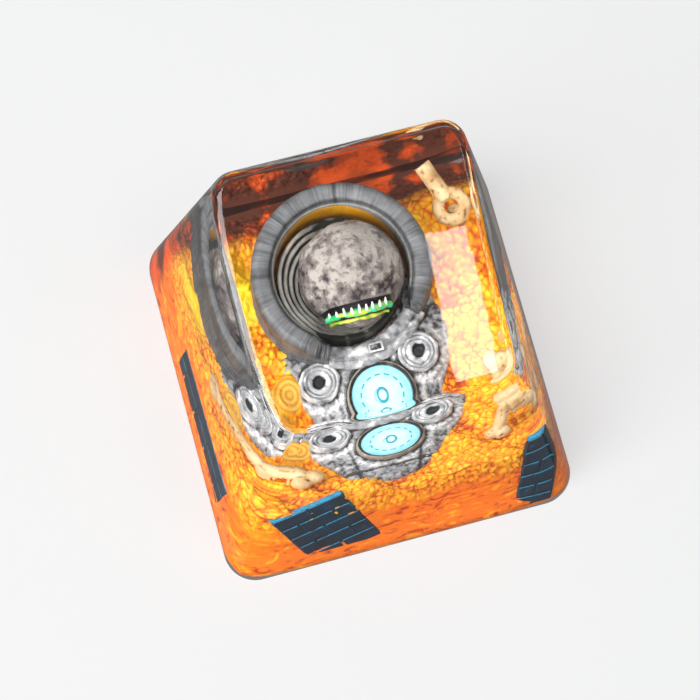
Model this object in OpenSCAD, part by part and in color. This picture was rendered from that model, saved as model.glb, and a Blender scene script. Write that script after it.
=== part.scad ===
// Keycap for a one-unit keyboard key: a clear cast block with a small painted scene sealed inside.
// Units are millimetres. Front is -Y, up is +Z, the origin is the centre of the bottom plane.
// One piece in use: nothing moves. Each sealed piece is its own node because it was made and
// painted on its own before the clear resin was poured.

/* [Keycap body] */
// Width and depth of the skirt at the bottom
base_w = 18.2; // [18:0.1:18.4]
// Radius of the upright corners at the bottom
base_r = 1.6; // [1.2:0.1:2]
// Height of the straight band at the bottom
band_h = 0.5; // [0.3:0.1:0.8]
// Half the width of the top at its front, to the middle of the rounded edge
top_half = 5.4; // [5.3:0.05:5.5]
// How much wider the top is at its back, on each side
top_flare = 0.2; // [0.1:0.05:0.3]
// Radius of the rounded edge of the top
top_r = 0.55; // [0.5:0.05:0.6]
// Radius of the corners of the top, to the middle of the rounded edge
top_round = 0.6; // [0.5:0.05:0.8]
// Y of the front edge of the top
top_front_y = -3.85; // [-4:0.05:-3.7]
// Y of the back edge of the top
top_back_y = 7.3; // [7.2:0.05:7.4]
// Z of the front edge of the top
top_front_z = 12.55; // [12.3:0.05:12.8]
// Z of the back edge of the top
top_back_z = 15.17; // [15:0.01:15.3]
// Outward bow of the left and right edges of the top
side_bow = 0.2; // [0.1:0.05:0.3]
// Outward bow of the front edge of the top
front_bow = 0.2; // [0.1:0.05:0.3]

/* [Underside] */
// Distance from the outside to the inner cast block
block_in = 1.5; // [1.4:0.05:1.55]
// Distance from the outside to the hollow under the block
hollow_in = 2.05; // [2:0.05:2.1]
// Height of the block
block_h = 4.75; // [4.5:0.05:5]
// Thickness of the block's roof over the hollow
roof_t = 0.45; // [0.4:0.05:0.6]
// Height of the block's roof over the end of the stem
stem_end = 0.1; // [0.05:0.01:0.2]
// Diameter of the round stem
stem_d = 5.6; // [5.5:0.05:5.6]
// Length of each arm of the cross socket
cross_l = 4.1; // [4.05:0.01:4.2]
// Width of the arm that runs left to right
cross_w = 1.31; // [1.25:0.01:1.4]
// Width of the arm that runs front to back
cross_t = 1.17; // [1.1:0.01:1.25]
// Depth of the cross socket
cross_h = 3.9; // [3.6:0.1:4.1]

/* [Ground] */
// Clear wall left outside the ground
wall_t = 0.42; // [0.4:0.02:0.5]
// Clear band under the edge of the ground
foot_gap = 0.4; // [0.3:0.05:0.5]
// Clearance between the block and the lowest face of the sealed figure
figure_gap = 0.25; // [0.2:0.01:0.3]
// Mean height of the rocky surface above the lowest face of the figure
rock_up = 0.55; // [0.4:0.05:0.6]
// Height of the bumps of the rocky surface
rock_a = 0.3; // [0.2:0.05:0.35]
// Depth of the ditch along the back edge of the ground
ditch = 1.5; // [1.2:0.1:1.6]
// Cells along each side of the rocky surface
rock_n = 20; // [16:1:22]

/* [Helmet] */
// X of the middle of the helmet ring
rim_x = -0.7; // [-0.8:0.05:-0.6]
// Y of the middle of the helmet ring
rim_y = 3.5; // [3.4:0.05:3.6]
// Height of the helmet ring
rim_h = 4; // [3.8:0.1:4.1]
// Width of the band of the helmet ring
rim_w = 1.1; // [1:0.05:1.15]
// Clearance between the ribbed bowl and the helmet ring
rim_gap = 0.25; // [0.2:0.01:0.3]
// Thickness of the ribbed bowl beside the head
bowl_w = 0.5; // [0.45:0.05:0.55]
// Height of the ribbed bowl
bowl_h = 2.3; // [2.1:0.05:2.4]
// Distance of the bowl's middle to the left of the ring's middle
bowl_off = 0.1; // [0.05:0.01:0.15]
// Width of each rib of the bowl
rib_w = 0.27; // [0.25:0.01:0.28]
// Height of each rib of the bowl
rib_h = 0.38; // [0.36:0.01:0.4]
// Number of ribs of the bowl
rib_n = 4; // [3:1:4]
// Angle where the broken front gap of the ring starts
gap_a = -113; // [-118:1:-108]
// Angle where the broken front gap of the ring ends
gap_b = -39; // [-44:1:-34]
// Height of the collar in the gap above the torso
collar_h = 0.75; // [0.6:0.05:0.8]

/* [Head] */
// X of the middle of the head
head_x = -0.25; // [-0.3:0.05:-0.2]
// Y of the middle of the head
head_y = 3.45; // [3.4:0.05:3.5]
// Height of the middle of the head above the lowest face of the figure
head_up = 2.75; // [2.7:0.05:2.8]
// Radius of the head
head_r = 2.5; // [2.45:0.05:2.5]
// Angle of the mouth from straight up towards the front
mouth_a = 49; // [46:1:52]
// Width of the mouth
mouth_w = 3.1; // [2.9:0.1:3.2]
// Height of the mouth opening
mouth_h = 0.95; // [0.9:0.05:1]
// Number of teeth
teeth_n = 7; // [5:1:8]
// Radius of a tooth at its root
tooth_r = 0.19; // [0.16:0.01:0.2]
// Length of a tooth above the gum
tooth_h = 0.17; // [0.12:0.01:0.2]
// Radius of the hollows of the eyes
eye_r = 0.85; // [0.8:0.05:0.9]

/* [Suit] */
// X of the middle of the shoulders
torso_x = -0.4; // [-0.45:0.05:-0.3]
// Y of the middle of the shoulders
torso_y = 0.3; // [0.2:0.05:0.4]
// Radius of the shoulders
torso_r = 4.2; // [4.1:0.05:4.25]
// Distance from the shoulders' middle to the belly's middle
belly_y = 3.5; // [3.4:0.05:3.6]
// Radius of the belly
belly_r = 2.55; // [2.5:0.05:2.65]
// Slope of the suit's side above the shoulders
suit_in = 0.22; // [0.18:0.01:0.26]
// Height of the torso
torso_h = 1.25; // [1.2:0.05:1.3]
// X of the middle of the chest disc
badge_x = -0.2; // [-0.3:0.05:-0.1]
// Y of the middle of the chest disc
badge_y = -2.35; // [-2.4:0.05:-2.3]
// Radius of the chest disc
badge_r = 1.5; // [1.4:0.05:1.5]
// Width of the bezel round the chest disc
bezel_w = 0.22; // [0.2:0.01:0.24]
// Outer radius of the hose ports
port_r = 0.98; // [0.9:0.02:1]
// Radius of the hole of the hose ports
port_hole_r = 0.42; // [0.35:0.01:0.45]
// Distance of the left port to the left of the torso's middle
port_left_x = 2.55; // [2.5:0.01:2.6]
// Distance of the left port in front of the torso's middle
port_left_y = 1.3; // [1.2:0.05:1.4]
// Distance of the right port to the right of the torso's middle
port_right_x = 2.42; // [2.4:0.01:2.5]
// Distance of the right port in front of the torso's middle
port_right_y = 1.02; // [1:0.01:1.1]
// Width of the buckle on the collar
clasp_w = 0.75; // [0.6:0.05:0.8]
// Depth of the buckle on the collar
clasp_d = 0.5; // [0.4:0.05:0.5]
// Height of the buckle on the collar
clasp_h = 0.32; // [0.25:0.01:0.4]

/* [Bones] */
// Height of the bones' lower ends above the rocky surface
bone_up = 0.2; // [0.15:0.01:0.3]
// Radius of the left bone
bone_left_r = 0.42; // [0.38:0.01:0.45]
// Distance of the left bone's back end from the left edge of the skirt
bone_left_in = 2.6; // [2.5:0.05:2.8]
// Y of the left bone's back end
bone_left_y = 0.1; // [0:0.05:0.2]
// Distance that the left bone runs to the right
bone_left_dx = 2.05; // [2:0.05:2.1]
// Distance that the left bone runs to the front
bone_left_dy = 4.25; // [4.2:0.05:4.3]
// Radius of the right bone
bone_right_r = 0.34; // [0.3:0.01:0.36]
// Distance of the right bone's foot from the right edge of the skirt
bone_right_in = 4.15; // [4.1:0.05:4.2]
// Distance of the right bone's foot from the front edge of the skirt
bone_right_y = 4.9; // [4.8:0.05:5]
// Height that the right bone climbs
bone_right_dz = 2.15; // [2:0.05:2.2]
// Distance that the right bone runs to the back
bone_right_dy = 1.9; // [1.8:0.05:2]
// Distance that the right bone runs to the right
bone_right_dx = 0.5; // [0.4:0.05:0.6]
// Radius of the leaning bone
bone_lean_r = 0.28; // [0.25:0.01:0.3]
// Distance of the leaning bone's foot from the right edge of the skirt
bone_lean_in = 2.6; // [2.55:0.05:2.7]
// Distance of the leaning bone's foot from the front edge of the skirt
bone_lean_y = 5.4; // [5.3:0.05:5.5]
// Distance that the leaning bone runs to the back
bone_lean_dy = 2.7; // [2.6:0.05:2.8]
// Height that the leaning bone climbs
bone_lean_dz = 0.85; // [0.7:0.05:0.9]
// Distance of the back bone's hole from the right edge of the skirt
bone_back_in = 3.75; // [3.7:0.05:3.8]
// Distance of the back bone's hole from the back edge of the skirt
bone_back_y = 3.5; // [3.4:0.05:3.6]
// Height of the back bone's hole above the rocky surface
bone_back_up = 1.65; // [1.6:0.05:1.7]
// Outer radius of the back bone's ring
bone_back_r = 0.95; // [0.9:0.01:1]
// Radius of the hole of the back bone's ring
bone_hole_r = 0.42; // [0.38:0.01:0.45]
// Length of the back bone's two shafts
bone_back_l = 2.1; // [2:0.05:2.2]

/* [Ruins] */
// Length of one brick
brick_l = 1.9; // [1.8:0.05:1.95]
// Height of one brick course
brick_h = 1.12; // [1.05:0.01:1.15]
// Width of the joints between bricks
joint_w = 0.12; // [0.1:0.01:0.14]
// Thickness of a brick wall piece
ruin_t = 0.65; // [0.6:0.05:0.7]
// Depth of the brick faces behind the outside of the keycap
ruin_in = 0.34; // [0.33:0.01:0.35]
// Height of the brick faces above their joints
relief = 0.07; // [0.05:0.01:0.07]
// Height of the wall pieces' tops above the rocky surface
ruin_up = 1.25; // [1.1:0.05:1.3]
// Distance of the front wall's lower corner from the left edge of the skirt
ruin_front_in = 4.32; // [4.3:0.02:4.4]
// Distance of the left wall's front end in front of the middle
ruin_left_at = 2.6; // [2.5:0.05:2.7]
// Distance of the corner wall from the right edge of the skirt
ruin_corner_in = 3.35; // [3.3:0.05:3.4]
// Depth of the front wall's lower corner under the rocky surface
ruin_front_low = 5.28; // [5.2:0.02:5.3]
// Depth of the left wall's foot under the rocky surface
ruin_left_low = 5.45; // [5.3:0.05:5.5]
// Depth of the corner wall's foot under the rocky surface
ruin_corner_low = 5.25; // [5.2:0.05:5.3]
// Room between the corner wall and the ground's side
corner_gap = 0.3; // [0.25:0.01:0.35]

/* [Hidden] */
$fn = 64;
half = base_w / 2;
side_lean = (half - top_half - 0.966 * top_r) / (top_front_z + 0.25 * top_r - band_h);
front_lean = (half + top_front_y - 0.93 * top_r) / (top_front_z + 0.368 * top_r - band_h);
back_lean = (half - top_back_y - 0.991 * top_r) / (top_back_z + 0.135 * top_r - band_h);
top_slope = (top_back_z - top_front_z) / (top_back_y - top_front_y);
hollow_h = block_h - roof_t;
figure_z = block_h + figure_gap;
rock_z = figure_z + rock_up;
bowl_r = head_r + bowl_w;
rim_ri = bowl_r + rim_gap;
rim_ro = rim_ri + rim_w;
head_z = figure_z + head_up;
bone_z = rock_z + bone_up;
ruin_z = rock_z + ruin_up;

function top_x(t) = top_half + side_bow * (1 - t * t) + top_flare * (t + 1) / 2;
top_path = concat(
    [for (t = [0:0.3:0.61]) [t * top_half, top_front_y - front_bow * (1 - t * t)]],
    [for (a = [-90:30:0]) [
        top_x(-1) - top_round * (1 - cos(a)),
        top_front_y + top_round * (1 + sin(a))]],
    [for (t = [-0.7:0.35:0.71]) [
        top_x(t),
        (top_front_y + top_back_y) / 2 + t * (top_back_y - top_front_y) / 2]],
    [for (a = [0:30:90]) [
        top_x(1) - top_round * (1 - cos(a)),
        top_back_y - top_round * (1 - sin(a))]]);
function wall_x(z) = half - wall_t - side_lean * max(0, z - band_h);
function wall_f(z) = -half + wall_t + front_lean * max(0, z - band_h);
function wall_b(z) = half - wall_t - back_lean * max(0, z - band_h);
function bump(u, v) = sin(410 * u + 130 * v) * cos(380 * v - 90 * u)
    + 0.7 * sin(760 * u - 250 * v + 40) * sin(690 * v + 300 * u)
    + 0.45 * cos(1130 * u + 880 * v);
function calm(u, v) = min(1, max(0.12, 1.9 * (u * u + v * v) - 0.2));
function rise(u, v) = rock_z + rock_a * bump(u, v) * calm(u, v) * (v > 0.75 ? 0.4 : 1)
    - ditch * max(0, v - 0.8) / 0.2;
function tuck(u, v) = 1 - 0.055 * pow(abs(u) * abs(v), 5);
function spot(u, v, z) = [
    u * wall_x(z) * tuck(u, v),
    (wall_f(z) + wall_b(z)) / 2 + v * (wall_b(z) - wall_f(z)) / 2 * tuck(u, v),
    z];

// The outside of the keycap: a square skirt drawn up to a rounded top with bowed edges.
module body_shape() {
    hull() {
        for (x = [-1, 1], y = [-1, 1])
            translate([x * (half - base_r), y * (half - base_r), 0])
                cylinder(r = base_r, h = band_h, $fn = 48);
        for (x = [-1, 1], c = top_path)
            translate([x * c[0], c[1], top_front_z + top_slope * (c[1] - top_front_y)])
                sphere(r = top_r, $fn = 24);
    }
}

// Rocky ground as one closed surface: bumpy top, leaning sides, flat foot.
module ground_shape() {
    n = rock_n;
    top = [for (j = [0:n], i = [0:n])
        let (u = 2 * i / n - 1, v = 2 * j / n - 1) spot(u, v, rise(u, v))];
    edge = concat(
        [for (i = [0:n - 1]) i],
        [for (j = [0:n - 1]) j * (n + 1) + n],
        [for (i = [0:n - 1]) n * (n + 1) + n - i],
        [for (j = [0:n - 1]) (n - j) * (n + 1)]);
    m = len(edge);
    low = [for (k = [0:m - 1])
        let (e = edge[k], u = 2 * (e % (n + 1)) / n - 1, v = 2 * floor(e / (n + 1)) / n - 1)
        spot(u, v, foot_gap)];
    t = len(top);
    faces = concat(
        [for (j = [0:n - 1], i = [0:n - 1])
            let (a = j * (n + 1) + i) [a, a + n + 1, a + 1]],
        [for (j = [0:n - 1], i = [0:n - 1])
            let (a = j * (n + 1) + i) [a + 1, a + n + 1, a + n + 2]],
        [for (k = [0:m - 1]) [edge[k], edge[(k + 1) % m], t + k]],
        [for (k = [0:m - 1]) [edge[(k + 1) % m], t + (k + 1) % m, t + k]],
        [[for (k = [0:m - 1]) t + k]]);
    polyhedron(points = concat(top, low), faces = faces);
}

// Four leaning walls that follow the outside at a set distance, between two heights.
module inner_walls(inset, z0, z1) {
    sx = inset / cos(atan(side_lean));
    sf = inset / cos(atan(front_lean));
    sb = inset / cos(atan(back_lean));
    p = [for (z = [z0, z1], c = [[-1, 0], [1, 0], [1, 1], [-1, 1]])
        [c[0] * (half - sx - side_lean * (z - band_h)),
        c[1] == 0 ? -half + sf + front_lean * (z - band_h) : half - sb - back_lean * (z - band_h),
        z]];
    polyhedron(points = p, faces = [
        [0, 1, 2, 3], [7, 6, 5, 4], [0, 4, 5, 1], [1, 5, 6, 2], [2, 6, 7, 3], [3, 7, 4, 0]]);
}

module block_shape() {
    inner_walls(block_in, 0, block_h);
}

// Round ring of the broken helmet: a tube with a bevelled lip and three outer grooves.
module ring_shape() {
    translate([rim_x, rim_y, figure_z])
        rotate_extrude()
            polygon([
                [rim_ri, 0],
                [rim_ro - 0.15, 0],
                [rim_ro - 0.15, rim_h * 0.24],
                [rim_ro, rim_h * 0.27],
                [rim_ro, rim_h * 0.33],
                [rim_ro - 0.15, rim_h * 0.36],
                [rim_ro - 0.15, rim_h * 0.4],
                [rim_ro, rim_h * 0.43],
                [rim_ro, rim_h * 0.49],
                [rim_ro - 0.15, rim_h * 0.52],
                [rim_ro - 0.15, rim_h * 0.56],
                [rim_ro, rim_h * 0.59],
                [rim_ro, rim_h - 0.3],
                [rim_ro - 0.3, rim_h],
                [rim_ri + 0.22, rim_h],
                [rim_ri, rim_h - 0.22]]);
}

// Plain wedge with its point on the ring's axis.
module wedge(a0, a1, z0, h) {
    am = (a0 + a1) / 2;
    translate([rim_x, rim_y, z0])
        linear_extrude(height = h)
            polygon([
                [0, 0],
                [9 * cos(a0), 9 * sin(a0)],
                [12 * cos(am), 12 * sin(am)],
                [9 * cos(a1), 9 * sin(a1)]]);
}

module ring_part() {
    difference() {
        ring_shape();
        wedge(gap_a, gap_b, figure_z - 1, rim_h + 2);
        torso_mass();
        port_room(-1);
        port_room(1);
        ruin_left_shape();
    }
}

// Low collar that closes the gap of the ring on top of the torso.
module collar_shape() {
    difference() {
        intersection() {
            translate([rim_x, rim_y, figure_z + torso_h])
                rotate_extrude()
                    polygon([
                        [rim_ri, 0],
                        [rim_ro - 0.05, 0],
                        [rim_ro - 0.35, collar_h],
                        [rim_ri + 0.15, collar_h],
                        [rim_ri, collar_h - 0.15]]);
            wedge(gap_a, gap_b, figure_z, torso_h + collar_h + 1);
        }
        port_room(-1);
        port_room(1);
        translate([badge_x, badge_y, figure_z])
            cylinder(r = badge_r + bezel_w, h = 3);
    }
}

// Bowl behind the head, stepped inside into concentric ribs.
module bowl_shape() {
    steps = [for (k = [0:rib_n - 1], s = [0, 1])
        [bowl_r - rib_w * (k + 1), bowl_h - rib_h * (k + s)]];
    translate([rim_x - bowl_off, rim_y, figure_z])
        rotate_extrude()
            polygon(concat(
                [[0, 0], [bowl_r, 0], [bowl_r, bowl_h]],
                steps,
                [[0, bowl_h - rib_h * rib_n]]));
}

module head_ball() {
    translate([head_x, head_y, head_z])
        sphere(r = head_r);
}

module mouth_box(grow, deep) {
    translate([head_x, head_y, head_z])
        rotate([mouth_a, 0, 0])
            translate([-mouth_w / 2 + grow, -mouth_h / 2 + grow, 0.7 * head_r])
                cube([mouth_w - 2 * grow, mouth_h - 2 * grow, deep]);
}

module head_shape() {
    difference() {
        head_ball();
        mouth_box(0, 2);
        translate([head_x - 0.78 * head_r, head_y - 0.14 * head_r, head_z + 0.84 * head_r])
            sphere(r = eye_r, $fn = 40);
        translate([head_x + 0.78 * head_r, head_y - 0.34 * head_r, head_z + 0.78 * head_r])
            sphere(r = eye_r, $fn = 40);
    }
}

// A gum strip on the floor of the mouth with a row of pointed teeth.
module teeth_shape() {
    intersection() {
        union() {
            mouth_box(0.02, 0.3);
            translate([head_x, head_y, head_z])
                rotate([mouth_a, 0, 0])
                    for (k = [0:teeth_n - 1])
                        translate([(k - (teeth_n - 1) / 2) * (mouth_w - 0.5) / teeth_n, 0, 0.8 * head_r])
                            cylinder(r1 = tooth_r, r2 = 0.1 * tooth_r, h = 0.25 + tooth_h, $fn = 24);
        }
        translate([head_x, head_y, head_z])
            sphere(r = head_r - 0.03);
    }
}

// Chest and shoulders: wide rounds and narrow rounds drawn together, as a suit narrows to the belly.
module torso_mass() {
    hull()
        for (c = [[0, torso_r], [belly_y, belly_r]]) {
            translate([torso_x, torso_y - c[0], figure_z])
                cylinder(r = c[1], h = 0.35, $fn = 56);
            translate([torso_x, torso_y - c[0], figure_z + torso_h - 0.3])
                cylinder(r = c[1] - suit_in, h = 0.02, $fn = 56);
            translate([torso_x, torso_y - c[0], figure_z + torso_h - 0.02])
                cylinder(r = c[1] - 2.7 * suit_in, h = 0.02, $fn = 56);
        }
}

function port_at(side) = side < 0
    ? [torso_x - port_left_x, torso_y - port_left_y]
    : [torso_x + port_right_x, torso_y - port_right_y];

module port_seat(side) {
    translate([port_at(side)[0], port_at(side)[1], figure_z + torso_h - 0.4])
        cylinder(r = port_r, h = 2);
}

module port_room(side) {
    translate([port_at(side)[0], port_at(side)[1], figure_z + torso_h - 0.4])
        cylinder(r = port_r, h = 0.85);
}

// Hose port: a stepped round socket with a blind hole.
module port_shape(side) {
    translate([port_at(side)[0], port_at(side)[1], figure_z + torso_h - 0.4])
        rotate_extrude()
            polygon([
                [0, 0],
                [port_r, 0],
                [port_r, 0.55],
                [port_r - 0.18, 0.72],
                [port_r - 0.3, 0.72],
                [port_r - 0.34, 0.6],
                [port_hole_r + 0.08, 0.6],
                [port_hole_r, 0.52],
                [port_hole_r, 0.15],
                [0, 0.15]]);
}

module disc_shape() {
    translate([badge_x, badge_y, figure_z + torso_h - 0.35])
        cylinder(r = badge_r, h = 0.47);
}

module bezel_shape() {
    translate([badge_x, badge_y, figure_z + torso_h - 0.35])
        rotate_extrude()
            polygon([
                [badge_r, 0],
                [badge_r + bezel_w, 0],
                [badge_r + bezel_w, 0.44],
                [badge_r + bezel_w - 0.1, 0.54],
                [badge_r, 0.54]]);
}

// Small buckle lying on the collar.
module clasp_shape() {
    translate([rim_x + 0.35, rim_y - rim_ri - clasp_d - 0.17, figure_z + torso_h + collar_h])
        difference() {
            cube([clasp_w, clasp_d, clasp_h]);
            translate([clasp_w / 2, clasp_d / 2, clasp_h * 0.45])
                cylinder(r = clasp_d * 0.24, h = 1, $fn = 24);
        }
}

// A long bone between two points with two knuckles at each end.
module bone_shape(a, b, r) {
    d = b - a;
    l = norm(d);
    turn = atan2(d[1], d[0]);
    tip = acos(d[2] / l);
    translate(a)
        rotate([0, tip, turn]) {
            cylinder(r1 = r * 1.15, r2 = r, h = l, $fn = 32);
            for (s = [-1, 1]) {
                translate([0, s * r * 0.75, 0])
                    sphere(r = r * 1.2, $fn = 32);
                translate([0, s * r * 0.7, l])
                    sphere(r = r * 1.1, $fn = 32);
            }
        }
}

module bone_left_shape() {
    foot = [-half + bone_left_in, bone_left_y, bone_z];
    bone_shape(foot, foot + [bone_left_dx, -bone_left_dy, bone_left_r * 0.6], bone_left_r);
}

module bone_right_shape() {
    foot = [half - bone_right_in, -half + bone_right_y, bone_z];
    bone_shape(foot, foot + [bone_right_dx, bone_right_dy, bone_right_dz], bone_right_r);
}

module bone_leaning_shape() {
    foot = [half - bone_lean_in, -half + bone_lean_y, bone_z];
    bone_shape(foot, foot + [-0.05, bone_lean_dy, bone_lean_dz], bone_lean_r);
}

// Back bone: a thick ring with a hole, and a short shaft.
module bone_back_shape() {
    translate([half - bone_back_in, half - bone_back_y, rock_z + bone_back_up])
        rotate([12, -14, 0])
            difference() {
                union() {
                    cylinder(r = bone_back_r, h = bone_back_r * 0.79, center = true, $fn = 40);
                    rotate([-82, 0, 18])
                        cylinder(
                            r1 = bone_back_r * 0.42, r2 = bone_back_r * 0.58, h = bone_back_l, $fn = 32);
                    rotate([158, 0, 0])
                        cylinder(r = bone_back_r * 0.36, h = bone_back_l, $fn = 32);
                }
                cylinder(r = bone_hole_r, h = bone_back_r * 3, center = true, $fn = 32);
            }
}

// A piece of brick wall: a backing slab with bricks in bond standing proud of it.
module brick_wall(rows, cols) {
    translate([0, relief, 0])
        cube([cols * brick_l, ruin_t - relief, rows * brick_h]);
    for (j = [0:rows - 1], i = [0:cols - 1]) {
        shift = j % 2 == 0 ? 0 : brick_l / 2;
        wide = (j % 2 == 1 && i == cols - 1) ? brick_l / 2 : brick_l;
        translate([i * brick_l + shift + joint_w / 2, 0, j * brick_h + joint_w / 2])
            cube([wide - joint_w, 0.3, brick_h - joint_w]);
    }
}

module ruin_front_shape() {
    intersection() {
        translate([0, -half - front_lean * band_h + ruin_in / cos(atan(front_lean)), 0])
            rotate([-atan(front_lean), 0, 0])
                translate([-half + ruin_front_in, 0, rock_z - ruin_front_low])
                    rotate([0, -20, 0])
                        brick_wall(5, 2);
        inner_walls(ruin_in - 0.02, foot_gap + 0.1, ruin_z);
    }
}

module ruin_left_shape() {
    intersection() {
        translate([-half - side_lean * band_h + ruin_in / cos(atan(side_lean)), 0, 0])
            rotate([0, 0, -90])
                rotate([-atan(side_lean), 0, 0])
                    translate([-ruin_left_at, 0, rock_z - ruin_left_low])
                        rotate([0, -2, 0])
                            brick_wall(3, 4);
        inner_walls(ruin_in - 0.02, foot_gap + 0.1, ruin_z);
    }
}

module ruin_corner_shape() {
    intersection() {
        translate([0, -half - front_lean * band_h + ruin_in / cos(atan(front_lean)), 0])
            rotate([-atan(front_lean), 0, 0])
                translate([half - ruin_corner_in, 0, rock_z - ruin_corner_low])
                    rotate([0, 4, 0])
                        brick_wall(6, 1);
        inner_walls(wall_t + corner_gap, foot_gap + 0.1, ruin_z);
    }
}

module resin_block() {
    color([1, 0.93, 0.82, 0.35])
        difference() {
            body_shape();
            ground_shape();
            inner_walls(block_in, -1, block_h);
            ring_part();
            bowl_part();
            head_shape();
            teeth_shape();
            torso_part();
            disc_shape();
            bezel_shape();
            port_shape(-1);
            port_shape(1);
            clasp_shape();
            collar_shape();
            bone_left_shape();
            bone_right_shape();
            bone_leaning_shape();
            bone_back_shape();
            ruin_front_shape();
            ruin_left_shape();
            ruin_corner_shape();
        }
}

module stem_base() {
    color([0.16, 0.1, 0.07])
        difference() {
            union() {
                difference() {
                    block_shape();
                    inner_walls(hollow_in, -1, hollow_h);
                }
                cylinder(d = stem_d, h = block_h - stem_end);
            }
            translate([-cross_l / 2, -cross_w / 2, -1])
                cube([cross_l, cross_w, cross_h + 1]);
            translate([-cross_t / 2, -cross_l / 2, -1])
                cube([cross_t, cross_l, cross_h + 1]);
        }
}

module ground() {
    color([0.95, 0.47, 0.06])
        difference() {
            ground_shape();
            inner_walls(block_in, -1, block_h);
            ring_part();
            bowl_shape();
            torso_mass();
            bone_left_shape();
            bone_right_shape();
            bone_leaning_shape();
            bone_back_shape();
            ruin_front_shape();
            ruin_left_shape();
            ruin_corner_shape();
        }
}

module helmet_ring() {
    color([0.45, 0.47, 0.5])
        ring_part();
}

module bowl_part() {
    difference() {
        bowl_shape();
        head_ball();
    }
}

module helmet_bowl() {
    color([0.8, 0.79, 0.76])
        bowl_part();
}

module head() {
    color([0.6, 0.55, 0.5])
        head_shape();
}

module teeth() {
    color([0.05, 0.6, 0.25])
        teeth_shape();
}

module torso_part() {
    difference() {
        torso_mass();
        translate([rim_x - bowl_off, rim_y, figure_z - 1])
            cylinder(r = bowl_r, h = torso_h + 2);
        translate([badge_x, badge_y, figure_z + torso_h - 0.35])
            cylinder(r = badge_r + bezel_w, h = 1);
        port_seat(-1);
        port_seat(1);
    }
}

module torso() {
    color([0.72, 0.73, 0.75])
        torso_part();
}

module chest_disc() {
    color([0.7, 0.93, 0.97])
        disc_shape();
}

module chest_bezel() {
    color([0.65, 0.52, 0.38])
        bezel_shape();
}

module port_left() {
    color([0.7, 0.7, 0.72])
        port_shape(-1);
}

module port_right() {
    color([0.7, 0.7, 0.72])
        port_shape(1);
}

module collar() {
    color([0.6, 0.6, 0.62])
        collar_shape();
}

module collar_clasp() {
    color([0.5, 0.5, 0.52])
        clasp_shape();
}

module bone_left() {
    color([0.9, 0.72, 0.45])
        difference() {
            bone_left_shape();
            torso_mass();
        }
}

module bone_right() {
    color([0.9, 0.72, 0.45])
        bone_right_shape();
}

module bone_leaning() {
    color([0.88, 0.7, 0.42])
        bone_leaning_shape();
}

module bone_back() {
    color([0.85, 0.68, 0.42])
        bone_back_shape();
}

module ruin_front() {
    color([0.02, 0.13, 0.22])
        ruin_front_shape();
}

module ruin_left() {
    color([0.05, 0.16, 0.24])
        ruin_left_shape();
}

module ruin_corner() {
    color([0.03, 0.2, 0.28])
        ruin_corner_shape();
}

resin_block();
stem_base();
ground();
helmet_ring();
helmet_bowl();
head();
teeth();
torso();
chest_disc();
chest_bezel();
port_left();
port_right();
collar();
collar_clasp();
bone_left();
bone_right();
bone_leaning();
bone_back();
ruin_front();
ruin_left();
ruin_corner();
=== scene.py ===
import math
import bpy
from mathutils import Matrix, Vector, noise


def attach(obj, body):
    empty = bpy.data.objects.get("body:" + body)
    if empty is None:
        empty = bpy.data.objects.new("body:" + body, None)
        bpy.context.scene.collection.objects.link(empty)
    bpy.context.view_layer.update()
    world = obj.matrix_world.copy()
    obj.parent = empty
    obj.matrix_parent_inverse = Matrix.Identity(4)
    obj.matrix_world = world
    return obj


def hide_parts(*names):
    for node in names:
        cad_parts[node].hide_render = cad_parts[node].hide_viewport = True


# Clear cast keycap with a painted scene sealed inside. Lengths are written in millimetres
# and turned into metres by the factor mm.
mm = 0.001
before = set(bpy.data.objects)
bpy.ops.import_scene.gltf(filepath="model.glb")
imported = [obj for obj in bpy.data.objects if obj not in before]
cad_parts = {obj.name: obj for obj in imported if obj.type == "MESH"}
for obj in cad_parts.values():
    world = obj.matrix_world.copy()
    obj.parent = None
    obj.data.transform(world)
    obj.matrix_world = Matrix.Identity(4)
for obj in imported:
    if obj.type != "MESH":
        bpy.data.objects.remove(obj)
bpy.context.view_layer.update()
print("frame loaded")

# The outside of the keycap: what every other piece is placed by.
keycap = {
    "half": 9.1,          # half the skirt
    "baseRadius": 1.6,    # upright corners at the skirt
    "band": 0.5,          # straight band at the skirt
    "topHalf": 5.4,       # half the top at its front, to the middle of the rounded edge
    "topFlare": 0.2,      # how much wider the top is at its back
    "topRadius": 0.55,    # rounded edge of the top
    "topRound": 0.6,      # its corners in plan
    "front": (-3.85, 12.55),         # y and z of the front edge
    "back": (7.3, 15.164),           # y and z of the back edge
    "leftBow": 0.42,      # outward bow of the top's left edge, worn more than the right
    "rightBow": 0.0,
    "rightIn": 0.12,      # how much nearer to the middle the right edge is
    "frontBow": 0.2,
    "sideLean": 0.26,     # run of each wall for one of height
    "frontLean": 0.3867,
    "backLean": 0.0851,
}
# The middle, in plan, of the sealed pieces that others are placed by
places = {"ring": (-0.7, 3.5), "bowl": (-0.8, 3.5), "dial": (-0.2, -2.35),
          "portLeft": (-2.95, -1.0), "portRight": (2.02, -0.72)}


def wall(lean, z, inset):
    # distance of a wall from the middle at height z, less an inset square to the wall
    run, band = keycap[lean], keycap["band"]
    return keycap["half"] - inset * math.sqrt(1 + run ** 2) - run * (max(z, band) - band)


def wallX(z, inset):
    return wall("sideLean", z, inset)


def wallFront(z, inset):
    return -wall("frontLean", z, inset)


def wallBack(z, inset):
    return wall("backLean", z, inset)


def clearSelection():
    if bpy.context.mode != "OBJECT":
        bpy.ops.object.mode_set(mode="OBJECT")
    bpy.ops.object.select_all(action="DESELECT")


def pick(*objects):
    clearSelection()
    for obj in objects:
        obj.select_set(True)
    bpy.context.view_layer.objects.active = objects[0]


def started(name):
    obj = bpy.context.object
    obj.name = name
    obj.data.name = name
    return obj


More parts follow.
